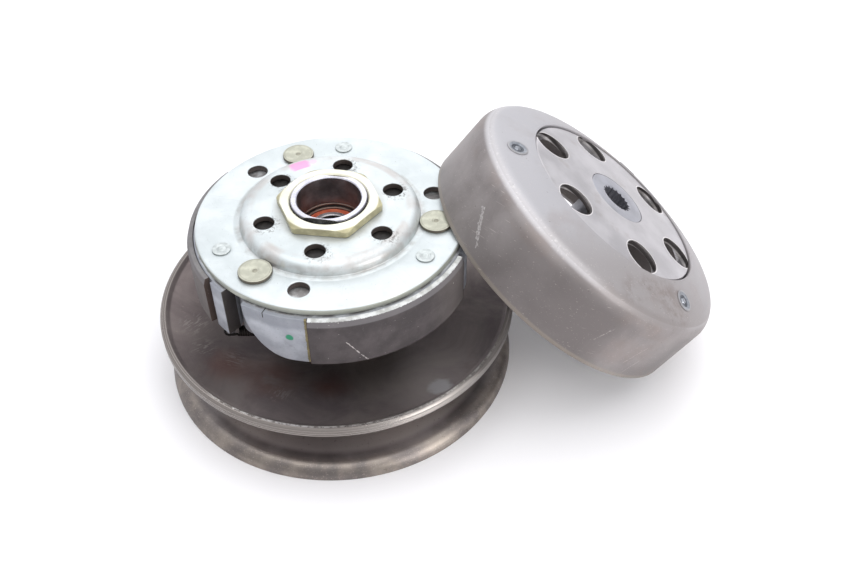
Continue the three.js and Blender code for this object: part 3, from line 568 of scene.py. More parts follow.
def dish_look():
    """Top of the sliding sheave: oily dark steel with rubbed patches, painted light and shade, and a bright
    worn rim that is partly painted highlight.
    """
    look = Look("dish_steel", 0.8, "72686a", "9a908d", 0.03, 6, 0.32, 0.68, 0.6, distortion=0.6)
    # darker towards the middle: oil, and painted shade under the clutch
    look.stain("3f3533", 0.2, look.between(look.radius, 66, 46))  # middle
    # painted shade on the left side
    look.stain("544b49", 0.6, look.between(look.x, -40, -66))  # left
    # painted light on the front right
    look.stain("c2b8b4", 0.5, look.blob((64, 300, 30), 20, 0.9, 0.5, 0.05))  # front right
    for radius, angle, size in ((54, 232, 14), (62, 214, 11), (50, 262, 10)):
        rust = look.blob((radius, angle, 30), size, 0.9, 0.8, 0.12)
        look.stain("71443a", 0.55, rust, look.cloud(0.06, 5, 0.25, 0.5))
    wipes = ((67, 187, 7, -50), (67, 200, 6, -35), (62, 242, 6, -65), (58, 212, 6, 20))
    for radius, angle, size, direction in wipes:
        wipe = look.blob(on_dish(radius, angle), size, 0.9, 0.6, 0.2)
        look.stain("aaa39f", 0.4, wipe, look.scratches(direction, 7, 0.9, 0.46, size))
    look.stain("c4c2c4", 0.8, look.blob(on_dish(74, 302.5), 5.5, 0.35, 0.7, 0.3))  # rubbed
    # painted shade towards the right side
    look.stain("433c3a", 0.4, look.between(look.x, 45, 72))  # right
    look.stain("8d837d", 0.25, look.scratches(15, 40, 0.7, 0.33, 3))  # swirl
    rim = look.between(look.radius, 79.2, 80.4)
    across = look.combine(look.times(look.radius, 2.2), look.times(look.z, 2.2), 0)
    lines = look.noise(1, 2, 0.5, across)
    worn = look.tones(look.between(lines, 0.35, 0.65), "5f5955", "a39c97")
    # painted highlight on the front right of the rim, mixed into the worn lines
    highlight_span = look.band(look.angle, -75, -25, 18)
    worn = look.mix(look.times(highlight_span, 0.5), worn, colour("b9b4af"))
    look.stain(worn, 0.9, rim)
    # painted shade under the rim
    look.stain("5f5753", 0.6, look.between(look.z, 30.4, 29.6), rim)  # under
    # painted highlight along the top edge at the front
    edge = look.times(look.band(look.radius, 80.2, 80.8, 0.25), look.between(look.z, 34.4, 34.8))
    look.stain("dcd8d4", 0.8, edge, look.cloud(0.5, 4, 0.4, 0.55), look.band(look.angle, -130, -38, 10))
    rough = look.math("SUBTRACT", look.rough(0.48, 0.36), look.times(rim, 0.12))
    bump = look.plus(look.times(look.rings(0.7), 0.5), look.noise(0.5, 5))
    return look.finish(rough, bump, depth=0.03)


def lower_look():
    """Fixed sheave: brown-grey steel polished by the belt, with a worn lip; the groove is also lightened by
    painted light.
    """
    look = Look("lower_sheave_steel", 0.88, "6e6867", "918b8a", 0.035, 6, 0.32, roughness=0.6)
    # lighter in the groove: polished by the belt, and painted light
    look.stain("b5afac", 0.85, look.between(look.radius, 74, 71))  # groove
    lip = look.between(look.radius, 74, 79)
    worn = look.tones(look.cloud(0.09, 5, 0.35, 0.68), "7b7471", "a3998f")
    look.stain(worn, 0.8, lip)
    look.stain("cbc1b7", 0.4, lip, look.cloud(1.6, 3, 0.58, 0.7))  # flecks
    look.stain("4f4640", 0.35, look.cloud(0.8, 4, 0.62, 0.72))  # pits
    look.stain("b9afa4", 0.35, look.scratches(12, 30, 0.5, 0.31, 7))  # marks
    rough = look.rough(0.3, 0.42)
    bump = look.plus(look.times(look.rings(0.6), 0.5), look.noise(0.6, 5))
    return look.finish(rough, bump, depth=0.03)


def shoe_look():
    """Cast aluminium with a dot of green paint on the first shoe's wall."""
    look = Look("cast_aluminium", 0.55, "9da0a8", "b4b7be", 0.12, 5)
    look.stain("7c7d82", 0.35, look.cloud(1.3, 3, 0.55, 0.75))  # casting
    look.stain("77726f", 0.3, look.between(look.radius, 58.5, 55))  # inside
    look.stain("7a746f", 0.3, look.cloud(0.2, 5, 0.6, 0.75))  # dirt
    top = look.times(look.between(look.z, 77.2, 77.6), look.between(look.radius, 59.6, 59))
    outside = look.between(look.radius, 59.6, 60.4)
    look.stain("7f8289", 0.55, look.between(look.z, 70.5, 73.5), outside)
    oily = look.tones(look.cloud(0.15, 4, 0.4, 0.62), "8d8a88", "dadcdd")
    look.stain(oily, 0.9, top)
    ragged = look.plus(look.angle, look.times(look.noise(0.5, 3), 1.2))
    strip = look.times(look.band(ragged, -103.2, -102.1, 0.12), look.between(look.radius, 60.2, 60.5))
    glue = look.tones(look.cloud(0.4, 4, 0.35, 0.65), "6f6540", "96895c")
    look.stain(glue, 0.9, strip)
    # painted shade on the end face of the tab
    end_face = look.between(look.angle, -20.85, -20.6)
    look.stain("403a37", 0.95, end_face, look.between(look.z, 53, 53.2))
    nick = look.band(look.angle, -120.45, -120.25, 0.2)
    look.stain("2c2927", 1, nick, look.band(look.z, 75.6, 79, 0.6))
    look.stain("3a8c6b", 1, look.blob((61.3, 249.7, 67), 1.75, 0.25, 0.35, 0.6))  # paint dot
    return look.finish(0.5, look.noise(1.5, 4), depth=0.06)


def lining_look(name, torn_edge):
    """Friction lining: dark grey and speckled; the bright shoe shows along a torn upper edge."""
    look = Look(name, 0.08, "464142", "585253", 0.1, 5)
    look.stain("716b6c", 0.25, look.cloud(1.1, 4, 0.56, 0.72, 0.7))  # fibres
    # painted shade towards one end of the strip
    look.stain("342f30", 1, look.between(look.x, 10, -35, 0, 0.35))
    # painted light towards the other end of the strip
    look.stain("7c7571", 1, look.between(look.x, 34, 52, 0, 0.4))
    look.stain("7c797b", 0.6, look.between(look.z, 75.3, 75.8))  # chamfer
    torn = look.plus(look.z, look.times(look.noise(1.6, 4, 0.7), 1.3))
    bright = look.tones(look.cloud(0.3, 4, 0.35, 0.65), "b4b5b2", "dbdddc")
    look.stain(bright, torn_edge, look.between(torn, 78.6, 78.75))
    # painted shade on the end faces of the strip
    ends = look.either(look.between(look.angle, -102.35, -102.5), look.between(look.angle, -30.75, -30.6))
    look.stain("443630", 0.9, ends)
    lines = look.noise(1, 3, 0.6, look.combine(0, 0, look.times(look.z, 1.6)))
    scoring = look.between(lines, 0.55, 0.75)
    look.stain("8d8789", 0.16, scoring)
    look.stain("c9c3c0", 0.8, look.cloud(1, 2, 0.74, 0.77))  # chips
    scratch = look.stroke((63.1, 271.3, 66.5), (63.1, 278.8, 54.6), 0.36, 0.1)
    look.stain("cfc9c6", 0.8, scratch)
    bump = look.plus(look.times(scoring, 0.5), look.noise(1.2, 4))
    look.shader.inputs["Specular IOR Level"].default_value = 0.3
    return look.finish(0.7, bump, depth=0.05)


def bell_look():
    """Pressed steel drum: warm grey with stains, fine scratches and a bright worn mouth, with painted
    light, highlight and shade on the shoulder, corner and skirt.
    """
    look = Look("bell_steel", 0.5, "7f7978", "979190", 0.028, 6, 0.34, 0.68, 0.6, distortion=0.4)
    top = look.between(look.z, 31, 36)
    # painted light on the shoulder
    look.stain("bdbbbf", 0.75, top)
    # painted cool light on the left of the shoulder
    look.stain("d3d5dc", 0.6, top, look.between(look.x, 15, -55))  # cool
    # painted shade on the front of the shoulder
    look.stain("96908e", 0.5, top, look.between(look.y, -32, -56))  # low
    # painted shade on the skirt over two spans of angle
    dim = look.either(look.band(look.angle, -138, -100, 14), look.band(look.angle, -60, -30, 12))
    dim = look.times(dim, look.between(look.z, 31, 26))
    look.stain("625c5b", 0.5, dim)
    look.stain("8c7468", 0.18, look.cloud(0.045, 5, 0.52, 0.7))  # warm
    look.stain("6d645e", 0.35, look.between(look.radius, 67.6, 67.2))  # inside
    corner = look.times(look.band(look.z, 33, 34.4, 1.6), look.between(look.radius, 62, 65))
    # painted highlight on the upper left of the corner
    upper = look.times(corner, look.between(look.x, -11, -46))
    look.stain("cdcacb", 0.4, upper)
    # painted shade on the lower part of the corner
    look.stain("857f7d", 0.6, corner, look.band(look.angle, -105, -70, 12))  # lower
    # worn flecks, drawn only inside the painted highlight on the corner
    look.stain("e0dddb", 0.5, upper, look.cloud(0.8, 5, 0.54, 0.68, 0.75))  # worn
    mouth = look.between(look.z, 2.6, 1.6)
    look.stain("a89d8b", 0.3, mouth, look.between(look.radius, 68.6, 69.2))
    look.stain("8a776c", 0.16, look.band(look.z, 27, 30, 3.5), look.cloud(0.05, 4, 0.42, 0.6))  # tarnish
    for radius, angle, size in ((57, 285, 9), (55, 272, 6), (62, 262, 7), (53, 296, 5), (66, 290, 7)):
        smudge = look.blob((radius, angle, 39), size, 0.9, 0.9, 0.12)
        look.stain("6e5f59", 0.5, smudge, look.cloud(0.16, 5, 0.42, 0.62, 0.65))
    look.stain("5a504b", 0.5, look.cloud(0.7, 3, 0.7, 0.75))  # specks
    marks = look.either(look.scratches(70, 20, 0.5, 0.31, 1, (0.3, 0.2, 1)),
                        look.scratches(20, 16, 0.5, 0.3, 8, (0.1, 1, 0.4)))
    look.stain("c2b9b4", 0.4, marks)
    scuffs = []
    for i in range(8):
        angle = 199.5 + i * 0.9
        height = 19 - i * 1.4
        scuffs.append(((70, angle, height + i % 2 * 2), (70, angle + 3, height - 3)))
    fine = look.strokes([
        ((70, 279, 9), (70, 282, 20)), ((70, 283, 4), (70, 285, 12)), ((60, 272, 38), (64, 275, 36.5)),
        ((59, 287, 39), (66, 283, 35.5)), ((70, 261, 13), (70, 263.5, 22)),
        ((55, 240, 40), (60, 243, 38.5)),
    ], 0.35)
    look.stain("d3cfce", 0.65, look.strokes(scuffs, 0.6, 0.35))
    look.stain("cfc8c4", 0.55, fine)
    rough = look.plus(look.rough(0.44, 0.54), look.times(marks, -0.06))
    bump = look.plus(look.times(look.rings(0.9), 0.3), look.noise(0.6, 5))
    return look.finish(rough, bump, depth=0.03)


def centre_look():
    """Centre plate of the bell: cleaner silver steel with turning marks."""
    look = Look("bell_plate_steel", 0.88, "aba8aa", "c4c1c3", 0.05, 5, 0.34, 0.68)
    look.stain("8d8177", 0.25, look.cloud(0.09, 5, 0.58, 0.72))  # stain
    for i in range(6):
        ring = look.vector("DISTANCE", look.place, point(VENTS[0], VENTS[1] + 60 * i, 41.5))
        # painted highlight round the rim of each vent
        look.stain("ece8e6", 0.85, look.band(ring, 8.75, 9.1, 0.15))  # edge
        # painted shade on each vent's wall
        look.stain("4d4846", 0.9, look.between(ring, 8.75, 8.65))  # wall
    look.stain("d9d4d2", 0.35, look.scratches(55, 18, 0.5, 0.3, 2))  # marks
    bump = look.plus(look.rings(0.5), look.noise(0.8, 4))
    return look.finish(look.rough(0.3, 0.4), bump, depth=0.012)


def bell_rivet_look():
    """A rivet closed in a dimple: blue-grey ring, groove darkened by painted shade, and a glossy stub."""
    look = Look("bell_rivet_steel", 0.85, "7f8288", "9da0a6", 0.4, high=0.68)
    look.stain("a8a5a5", 0.7, look.between(look.radius, 3.7, 4.5))  # outer
    # painted shade in the groove
    look.stain("4b4e54", 0.85, look.band(look.radius, 1.7, 2.7, 0.3))  # groove
    rough = look.between(look.radius, 1.2, 3, 0.18, 0.42)
    return look.finish(rough, look.noise(1.1, 3), depth=0.02)


PLACE = (AXIS_X, 0, 0)
ZINC = zinc_look()
NUT = nut_look()
RIVET = rivet_look()
HUB = hub_look()
DISH = dish_look()
LOWER = lower_look()
SHOE = shoe_look()
LININGS = [lining_look("friction_lining_torn", 1)] + [lining_look("friction_lining", 0.12)] * 2
DRUM = bell_look()
CENTRE = centre_look()
BRIGHT = steel_look("bright_steel", "a9a3a6", "d5d0d2", 0.22)
CADBRIGHT = steel_look("bright_steel_inner", "a9a3a6", "d5d0d2", 0.26, origin=PLACE)
DARK = steel_look("dark_steel", "3b3735", "5f5955", 0.42)
CADDARK = steel_look("dark_steel_inner", "3b3735", "5f5955", 0.42, origin=PLACE)
BELLHUB = steel_look("bell_hub_steel", "96969c", "b0b0b7", 0.36, 0.1)
BELLRIVET = bell_rivet_look()
SPRING = steel_look("spring_steel", "1d1b1a", "35302e", 0.5)
OILY = steel_look("oily_steel", "6b5a54", "9a857b", 0.42)
SMALLRIVET = steel_look("small_rivet_steel", "b2b8b7", "d0d6d5", 0.4, 0.4, metallic=0.6)
SEAL = soft_look("orange_seal", "c25539", "e07a57", 0.55, 0.2)
RUBBER = soft_look("black_rubber", "171616", "2b2929", 0.75)
PLASTIC = soft_look("black_plastic", "161413", "2a2725", 0.5)


# -------------- sheaves

def lower_sheave():
    """A cone that falls outwards, with a lip that bends down to the floor."""
    low, top = 13.4, 17.4
    bend, lip = top - low, 8
    slope = 90 - SHEAVE_ANGLE
    lip_x = 82.6 - lip
    dx, dy = polar(lip, slope)
    lip_z = top - (lip_x + dx - 30) * SLOPE - dy
    floor_angle = lambda radius: math.degrees(math.asin(-lip_z / radius))
    outline = [
        (17.2, low), (29, low),
        *arc(lip_x, lip_z, lip - bend, slope, floor_angle(lip - bend), 10),
        *arc(lip_x, lip_z, lip, floor_angle(lip), slope, 22),
        (60, top - 30 * SLOPE), (45, top - 15 * SLOPE),
        *arc(29.4, low, bend, slope, 90, 3),
        (17.2, top),
    ]
    return lathe(outline, LARGE)


def upper_sheave():
    bottom = lambda r: 17.7 + (r - 30) * SLOPE
    top = lambda r: bottom(r) + 3.6
    edge = 82.5
    grooves = []
    for z, depth in ((32.05, 0.12), (33.05, 0.14)):
        grooves += [(edge, z - 0.15), (edge - depth, z), (edge, z + 0.15)]
    return turned([
        (21.4, 17.7, 0.4), (30, 17.7, 2), (edge, bottom(edge), 0.5), *grooves, (edge, 34.1, 0.35),
        (81.6, 35, 0.4), (79.9, 35, 0.5), (78.2, top(78.2), 2.2),
        (60, top(60)), (45, top(45)), (30, top(30), 3), (21.4, top(30), 0.4),
    ], 15, LARGE)


piece("lower_sheave", lower_sheave(), PULLEY, "hub", LOWER, "sheave_steel", "fixed_face")
piece("upper_sheave", upper_sheave(), PULLEY, "sliding_face", DISH, "sheave_steel", "movable_face")


# -------------- hub, bearings and torque spring

HUB_FLAT = 14.8  # from the axis
HUB_FLAT_ANGLE = 72  # degrees


def hub_solid():
    shoulder = DOME_TOP - 3.3
    thread = []
    for i in range(4):
        z = HUB_TOP - 4.6 + i
        thread += [(16.35, z), (16.8, z + 0.35), (16.8, z + 0.6)]
    outline = [
        (12, 0.8), *arc(16, 1.8, 1, 270, 360, 3), (17, 9.1), *arc(26.4, 9.7, 0.6, 270, 360, 3),
        *arc(26.4, 12.5, 0.6, 0, 90, 3), (17, 13.1), (17, shoulder), (16.8, shoulder), *thread,
        (16.8, HUB_TOP - 0.6), (16.3, HUB_TOP), (14.5, HUB_TOP), (14, HUB_TOP - 0.5),
        (14, 77.5), (14.8, 77.5), (14.8, 75.9), (14, 75.9), (14, 68.3), (12, 68.3),
    ]
    solid = lathe(outline, MEDIUM)
    flats = merged(*[block(side * (HUB_FLAT + 2), 4, 40, shoulder, shoulder + 20) for side in (1, -1)])
    return boolean(solid, moved(flats, rotation(HUB_FLAT_ANGLE)))


def ring(inner, outer, bottom, top, radius=0.3, segments=MEDIUM):
    corners = ((inner, bottom), (outer, bottom), (outer, top), (inner, top))
    return turned([(*corner, radius) for corner in corners], 30, segments)


def race(inner, outer, groove):
    """A bearing ring with a round groove for its balls, inside an outer ring or outside an inner one."""
    ball_pitch, ball_groove = 11.1, 2
    low, high = 68.6, 75.6
    inner_edge, outer_edge = (0.3, 0.4) if groove == "inside" else (0.4, 0.3)
    start = 50 if groove == "inside" else 230
    curve = arc(ball_pitch, (low + high) / 2, ball_groove, start, start - 100, 8)
    below = [(inner, low + inner_edge), (inner + inner_edge, low),
             (outer - outer_edge, low), (outer, low + outer_edge)]
    above = [(r, low + high - z) for r, z in below[::-1]]
    return lathe([*below, *above, *curve] if groove == "inside" else [*below, *curve, *above], MEDIUM)


piece("driven_hub_turned", hub_solid(), PULLEY, "hub", HUB, "bright_steel", "driven_hub")
outer_race = race(12.6, 13.85, "inside")
inner_race = race(7.5, 9.6, "outside")
piece("outer_race", outer_race, PULLEY, "hub", OILY, "bright_steel", "bearing_outer_ring")
piece("inner_race", inner_race, PULLEY, "inner_ring", BRIGHT, "bright_steel", "bearing_inner_ring")
for name, low in (("top", 74.2), ("bottom", 69.1)):
    seal = turned([(9.9, low, 0.2), (10.4, low + 0.25, 0.3), (11.8, low + 0.25, 0.3), (12.3, low, 0.2),
                   (12.3, low + 0.9, 0.2), (11.6, low + 0.7, 0.3), (10.5, low + 0.7, 0.3),
                   (9.9, low + 0.9, 0.2)])
    piece(f"shield_{name}", seal, PULLEY, "hub", SEAL, "orange_seal", f"bearing_seal_{name}")

clip_path = [(*p, 76.6) for p in arc(0, 0, 14.2, 220, 540, 72)]
piece("wire_circlip", tube(clip_path, 0.55, 12), PULLEY, "hub", OILY, "bright_steel", "bearing_circlip")
piece("needle_cup", ring(10.5, 11.8, 2, 22), PULLEY, "hub", BRIGHT, "bright_steel", "needle_shell")

needles = [ring(8.6, 9.4, 3, 5, 0.1), ring(8.6, 9.4, 19, 21, 0.1)]
for i in range(16):
    roller = turned([(0, 4.6), (1.2, 4.6, 0.3), (1.2, 19.4, 0.3), (0, 19.4)], segments=16)
    needles.append(at(roller, (9, 360 * i / 16)))
piece("needle_rollers", merged(*needles), PULLEY, "needle_set", BRIGHT, "bright_steel", "needle_cage")

COIL_RADIUS, COIL_WIRE, COIL_TURNS = 26.6, 2.2, 5.5
COIL_START, COIL_END = 26, 77.8
coil = []
steps = round(COIL_TURNS * 40)
for i in range(steps + 1):
    share = i / steps
    coil.append(point(COIL_RADIUS, 360 * COIL_TURNS * share, COIL_START + (COIL_END - COIL_START) * share))
spring = piece("torque_coil", tube(coil, COIL_WIRE, 16), PULLEY, "hub", DARK, "dark_steel", "torque_spring")
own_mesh(spring)

SEAT_LOW, SEAT_HIGH = (corner.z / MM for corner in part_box("upper_spring_seat"))
seat = turned([(17.4, SEAT_LOW, 0.5), (22.6, SEAT_LOW, 0.5), (22.6, 80.3, 0.5), (34.8, 80.3, 1),
               (34.8, SEAT_HIGH, 0.6), (17.4, SEAT_HIGH, 0.4)])
piece("upper_seat", seat, PULLEY, "hub", PLASTIC, "black_plastic", "upper_spring_seat")
seat = ring(23.6, 29.6, 21.6, 23.5, 0.5)
piece("lower_seat", seat, PULLEY, "spring_base", PLASTIC, "black_plastic", "lower_spring_seat")
collar = ring(21.5, 23.2, 21.8, 51.6, 0.4)
piece("collar_tube", collar, PULLEY, "sliding_face", DARK, "dark_steel", "seal_collar")
for i, z in enumerate((23.2, 50)):
    cord = lathe(arc(20.7, z, 0.5, 0, 330, 11), MEDIUM)
    piece(f"ring_seal_{i + 1}", cord, PULLEY, "sliding_face", RUBBER, "black_rubber", f"o_ring_{i + 1}")
for name, low in (("lower", 18.2), ("upper", 49.3)):
    lip = ring(17.25, 18.8, low, low + 2.4, 0.35)
    piece(f"lip_seal_{name}", lip, PULLEY, "sliding_face", RUBBER, "black_rubber", f"oil_seal_{name}")


# -------------- drive plate, nut and rivets

def drive_plate_solid():
    dome_low = DOME_TOP - (PLATE_TOP - PLATE_LOW)
    solid = turned([
        (14, dome_low), (36.5, dome_low, 1.8), (36.5, PLATE_LOW, 0.6), (58.9, PLATE_LOW, 0.5),
        (59, PLATE_LOW + 0.6), (59, PLATE_TOP, 0.9), (42.6, PLATE_TOP), (42.2, PLATE_TOP - 0.12),
        (41.8, PLATE_TOP), (39.5, PLATE_TOP, 0.4), (39.5, DOME_TOP, 4.7), (14, DOME_TOP),
    ], 7.5, LARGE)
    between_flats = moved(block(0, 2 * (HUB_FLAT + 0.3), 40, 73, 93), rotation(HUB_FLAT_ANGLE))
    cutters = [boolean(cylinder(17.1, 77, 89, MEDIUM), between_flats, "INTERSECT")]
    for i in range(6):
        cutters.append(at(hole(4.5, dome_low, DOME_TOP, 0.3), DOME_HOLES, 60 * i))
    for turn in THIRDS:
        for spot, radius, rim in ((PLATE_HOLES, 4.6, 0.3), (PIVOT, 4.3, 0.1), (DAMPER, 2.8, 0.1)):
            cutters.append(at(hole(radius, PLATE_LOW, PLATE_TOP, rim), spot, turn))
    return boolean(solid, merged(*cutters))


def nut_solid():
    """A thin hexagon nut, 41 mm across its flats, with its corners turned down."""
    across_flats, corner = 41, 23.3
    bottom = DOME_TOP + 0.3
    hexagon = prism([polar(across_flats / math.sqrt(3), 45 + 60 * i) for i in range(6)], bottom, NUT_TOP)
    chamfered = turned([
        (17.1, bottom + 0.4), (17.5, bottom), (corner - 0.2, bottom), (corner, bottom + 0.2),
        (corner, NUT_TOP - 1.4, 0.4), (20.5, NUT_TOP, 0.3), (17.7, NUT_TOP), (17.1, NUT_TOP - 0.6),
    ], 20)
    return bevelled(boolean(hexagon, chamfered, "INTERSECT"), 0.2, 2, 50)


piece("clutch_plate", drive_plate_solid(), PULLEY, "hub", ZINC, "zinc_plate", "drive_plate")
piece("hex_nut", nut_solid(), PULLEY, "hub", NUT, "yellow_zinc", "clutch_nut")


HEAD_LOW = PLATE_TOP + 0.3  # under the rivet heads
PIN_LOW = 45.6
FOOT_RADIUS, POST_RADIUS = 2.6, 1.8


def pivot_solid():
    head = HEAD_LOW
    top = head + 1.6
    return turned([
        (0, PIN_LOW), (FOOT_RADIUS, PIN_LOW, 0.5), (FOOT_RADIUS, 52.3), (4, 52.3, 0.4), (4, head),
        (7.2, head, 0.2), (7.2, top - 0.15, 0.5), (5.4, top - 0.05, 1), (1.9, top - 0.15, 0.4),
        (1.5, top - 0.45, 0.3), (0.9, top - 0.45, 0.3), (0.5, top - 0.2, 0.2), (0, top - 0.2),
    ], 20, SMALL)


def damper_solid():
    head = HEAD_LOW
    top = head + 0.4
    return turned([
        (0, 57), (2.5, 57, 0.5), (2.5, head), (4, head, 0.1), (4, top, 0.25), (2.4, top, 0.3),
        (2.1, head + 0.2, 0.2), (1.6, head + 0.2, 0.2), (1.2, top, 0.2), (0, top),
    ], 20, SMALL)


def pin_place(spot, turn):
    radius, degrees = spot
    x, y = polar(radius, degrees + turn)
    return Matrix.Translation(((AXIS_X + x) * MM, y * MM, 0))


# -------------- shoes

SHOE_LOW, SHOE_TOP = 53.5, 78


def shoe_solid():
    outline = [
        *arc(0, 0, 61.3, 230, 257, 16),
        *arc(0, 0, 59.9, 257, 331.7, 40),
        *arc(0, 0, 61.3, 331.7, 339.6, 6),
        polar(55.6, 339.6),
        polar(45, 331.6),
        *arc(0, 0, 41, 326, 238, 36),
        polar(*PIVOT),
    ]
    solid = prism(outline[::-1], SHOE_LOW, SHOE_TOP)
    boss = at(cylinder(8.3, SHOE_LOW, SHOE_TOP, 64), PIVOT)
    solid = boolean(solid, boss, "UNION")
    solid = boolean(solid, shoe_corner())
    notch = prism([*arc(0, 0, 5.4, 180, 360, 24), (5.4, 24), (-5.4, 24)], 52, 80)
    run = Vector(polar(*DAMPER)) - Vector(polar(*PIVOT))
    moved(notch, rotation(math.degrees(math.atan2(run.y, run.x))))
    solid = boolean(solid, at(notch, DAMPER))
    solid = boolean(solid, at(cylinder(4.12, 50, 80, SMALL), PIVOT))
    post = turned([(0, PIN_LOW), (POST_RADIUS, PIN_LOW, 0.4), (POST_RADIUS, 54.5), (0, 54.5)], segments=32)
    post = at(post, SPRING_POST)
    return bevelled(boolean(solid, post, "UNION"), 0.45, 3, 38)


def shoe_corner():
    """The lower corner of the outer wall is rounded away beside the pivot boss."""
    width, height, top, low = 21.2, 23.5, 77, 49.5
    curve = []
    for x, y in arc(0, 0, 1, 180, 270, 18):
        curve.append((width / 2 + x * width, top + y * height))
    outline = [*curve, (width / 2, low), (-width, low), (-width, top)][::-1]
    solid = prism(outline, 53.8, 69.3)
    outward = Vector((*polar(1, 240), 0))
    along = Vector((*polar(1, 330), 0))
    basis = Matrix((along, Vector((0, 0, 1)), outward)).transposed().to_4x4()
    return moved(solid, basis)


def lining_solid():
    """A strip with a chamfered outer top edge, bent round the shoe."""
    inner, outer, low, top = 60.2, 63.1, 54.2, 78.5
    section = rounded([(inner, low, 0.2), (outer, low, 0.3), (outer, top - 3.1, 0.6), (outer - 1, top, 0.3),
                       (inner, top, 0.2)], 20)
    start, end, steps = 329.5, 257.4, 64
    sections = []
    for i in range(steps + 1):
        angle = start + (end - start) * i / steps
        sections.append([point(r, angle, z) for r, z in section])
    return loft(sections)


SPRING_HEIGHT = 47.4  # of the return springs


def spring_path():
    """From the post on a shoe to the foot of the next pivot pin."""
    post, foot = (point(*spot, SPRING_HEIGHT) for spot in (SPRING_POST, NEXT_PIVOT))
    run = Vector(foot) - Vector(post)
    span = run.length
    gap, coil_radius, turns, steps = 0.8, 2, 7, 18
    post_hook, foot_hook = POST_RADIUS + gap, FOOT_RADIUS + gap
    start, end = post_hook + gap, span - foot_hook - gap
    points = [(x, y, 0) for x, y in arc(0, 0, post_hook, 60, 270, 20)]
    for i in range(turns * steps + 1):
        c, s = polar(coil_radius, 360 * i / steps)
        points.append((start + (end - start) * i / (turns * steps), -c, -s))
    points += [(x, y, 0) for x, y in arc(span, 0, foot_hook, 270, 480, 20)]
    place = Matrix.Translation(post) @ rotation(math.degrees(math.atan2(run.y, run.x)))
    return [place @ Vector(p) for p in points]


def hung_coil(number, place):
    """The return coil, hooked from the post on the shoe to the next pivot pin."""
    obj = placed(f"return_coil_{number}", tube(spring_path(), 0.5, 10), place, SPRING)
    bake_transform(obj)
    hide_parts(f"return_spring_{number}")


def recoat(name, material):
    """Gives a CAD node that needs no finer mesh its look."""
    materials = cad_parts[name].data.materials
    materials.clear()
    materials.append(material)


for number, turn in enumerate(THIRDS, 1):
    pivot, damper = pin_place(PIVOT, turn), pin_place(DAMPER, turn)
    shoe_place = PULLEY @ rotation(turn)
    body = f"clutch_shoe_{number}"
    piece(f"pivot_rivet_{number}", pivot_solid(), pivot, "hub", RIVET, "rivet_steel", f"pivot_pin_{number}")
    piece(f"damper_rivet_{number}", damper_solid(), damper, "hub", SMALLRIVET, "zinc_plate",
          f"damper_pin_{number}")
    piece(f"damper_sleeve_{number}", ring(2.8, 5, 58, 77, 0.6, SMALL), damper, "hub", RUBBER,
          "black_rubber", f"damper_rubber_{number}")
    piece(f"cast_shoe_{number}", shoe_solid(), shoe_place, body, SHOE, "shoe_aluminium", f"shoe_{number}")
    piece(f"friction_strip_{number}", lining_solid(), shoe_place, body, LININGS[number - 1],
          "friction_lining", f"lining_{number}")
    hung_coil(number, shoe_place)
    recoat(f"pivot_clip_{number}", CADDARK)
    recoat(f"guide_pin_{number}", CADBRIGHT)

recoat("cam_sleeve", CADDARK)
recoat("bearing_ball_cage", CADBRIGHT)


# -------------- bell

SHOULDER = 17.6  # degrees that the shoulder falls outwards
CORNER_X, SKIRT, CORNER = 60, 27, 10
SHEET = 3
OPENING = 47.1
SHEET_DROP = SHEET / math.cos(math.radians(SHOULDER))


def shoulder_height(radius):
    x, z = polar(CORNER, 90 - SHOULDER)
    return SKIRT + z + (CORNER_X + x - radius) * math.tan(math.radians(SHOULDER))


def rivet_place(turn, unit=1):
    """Where a rivet sits on the shoulder; unit is the length of a millimetre."""
    radius, degrees = BELL_RIVETS
    seat = Matrix.Translation((radius * unit, 0, shoulder_height(radius) * unit))
    return rotation(degrees + turn) @ seat @ rotation(SHOULDER, "Y")


def drum_solid():
    opening_top = shoulder_height(OPENING)
    outline = [
        (67, 2), (68.6, 0.25), (69, 0), *arc(69.5, 0.5, 0.5, 270, 360, 4),
        *arc(CORNER_X, SKIRT, CORNER, 0, 90 - SHOULDER, 22),
        (OPENING + 6, shoulder_height(OPENING + 6)),
        *arc(OPENING + 0.45, opening_top - 0.6, 0.45, 72, 180, 5),
        (OPENING, opening_top - SHEET_DROP + 0.2),
        (OPENING + 0.3, opening_top - SHEET_DROP - 0.05),
        *arc(CORNER_X, SKIRT, CORNER - SHEET, 90 - SHOULDER, 0, 12),
    ]
    holes = [moved(hole(3.4, -2.9, 0, 0.5, 32), rivet_place(turn)) for turn in THIRDS]
    return boolean(lathe(outline, LARGE), merged(*holes))


CENTRE_SPHERE = 500
CENTRE_TOP = 43.05


def centre_solid():
    dome = lambda r: CENTRE_TOP - CENTRE_SPHERE + math.sqrt(CENTRE_SPHERE ** 2 - r ** 2)
    flange = lambda r: shoulder_height(r) - SHEET_DROP - 0.3
    sheet = 2.6
    top = [(r, dome(r)) for r in (20, 25, 30, 35, 40, 44)]
    outline = [
        (15, dome(15)), (15, dome(15) - sheet),
        *[(r, z - sheet) for r, z in top[:5]],
        (43.4, dome(46) - sheet - 0.5),
        (43.9, flange(46.5) - sheet),
        (60.5, flange(60.5) - sheet),
        (60.5, flange(60.5)),
        (46.6, flange(46.6)),
        (46.3, dome(46.5) - 0.9),
        *arc(45.55, dome(46.5) - 0.75, 0.75, 0, 80, 4),
        *top[::-1],
    ]
    solid = lathe(outline, LARGE)
    holes = []
    height = dome(VENTS[0])
    tilt = math.degrees(math.asin(VENTS[0] / CENTRE_SPHERE))
    pivot = Matrix.Translation((0, 0, height))
    for i in range(6):
        cutter = moved(hole(8.55, height - sheet, height, 0.15, 64),
                       pivot @ rotation(tilt, "Y") @ pivot.inverted())
        holes.append(at(cutter, VENTS, 60 * i))
    return boolean(solid, merged(*holes))


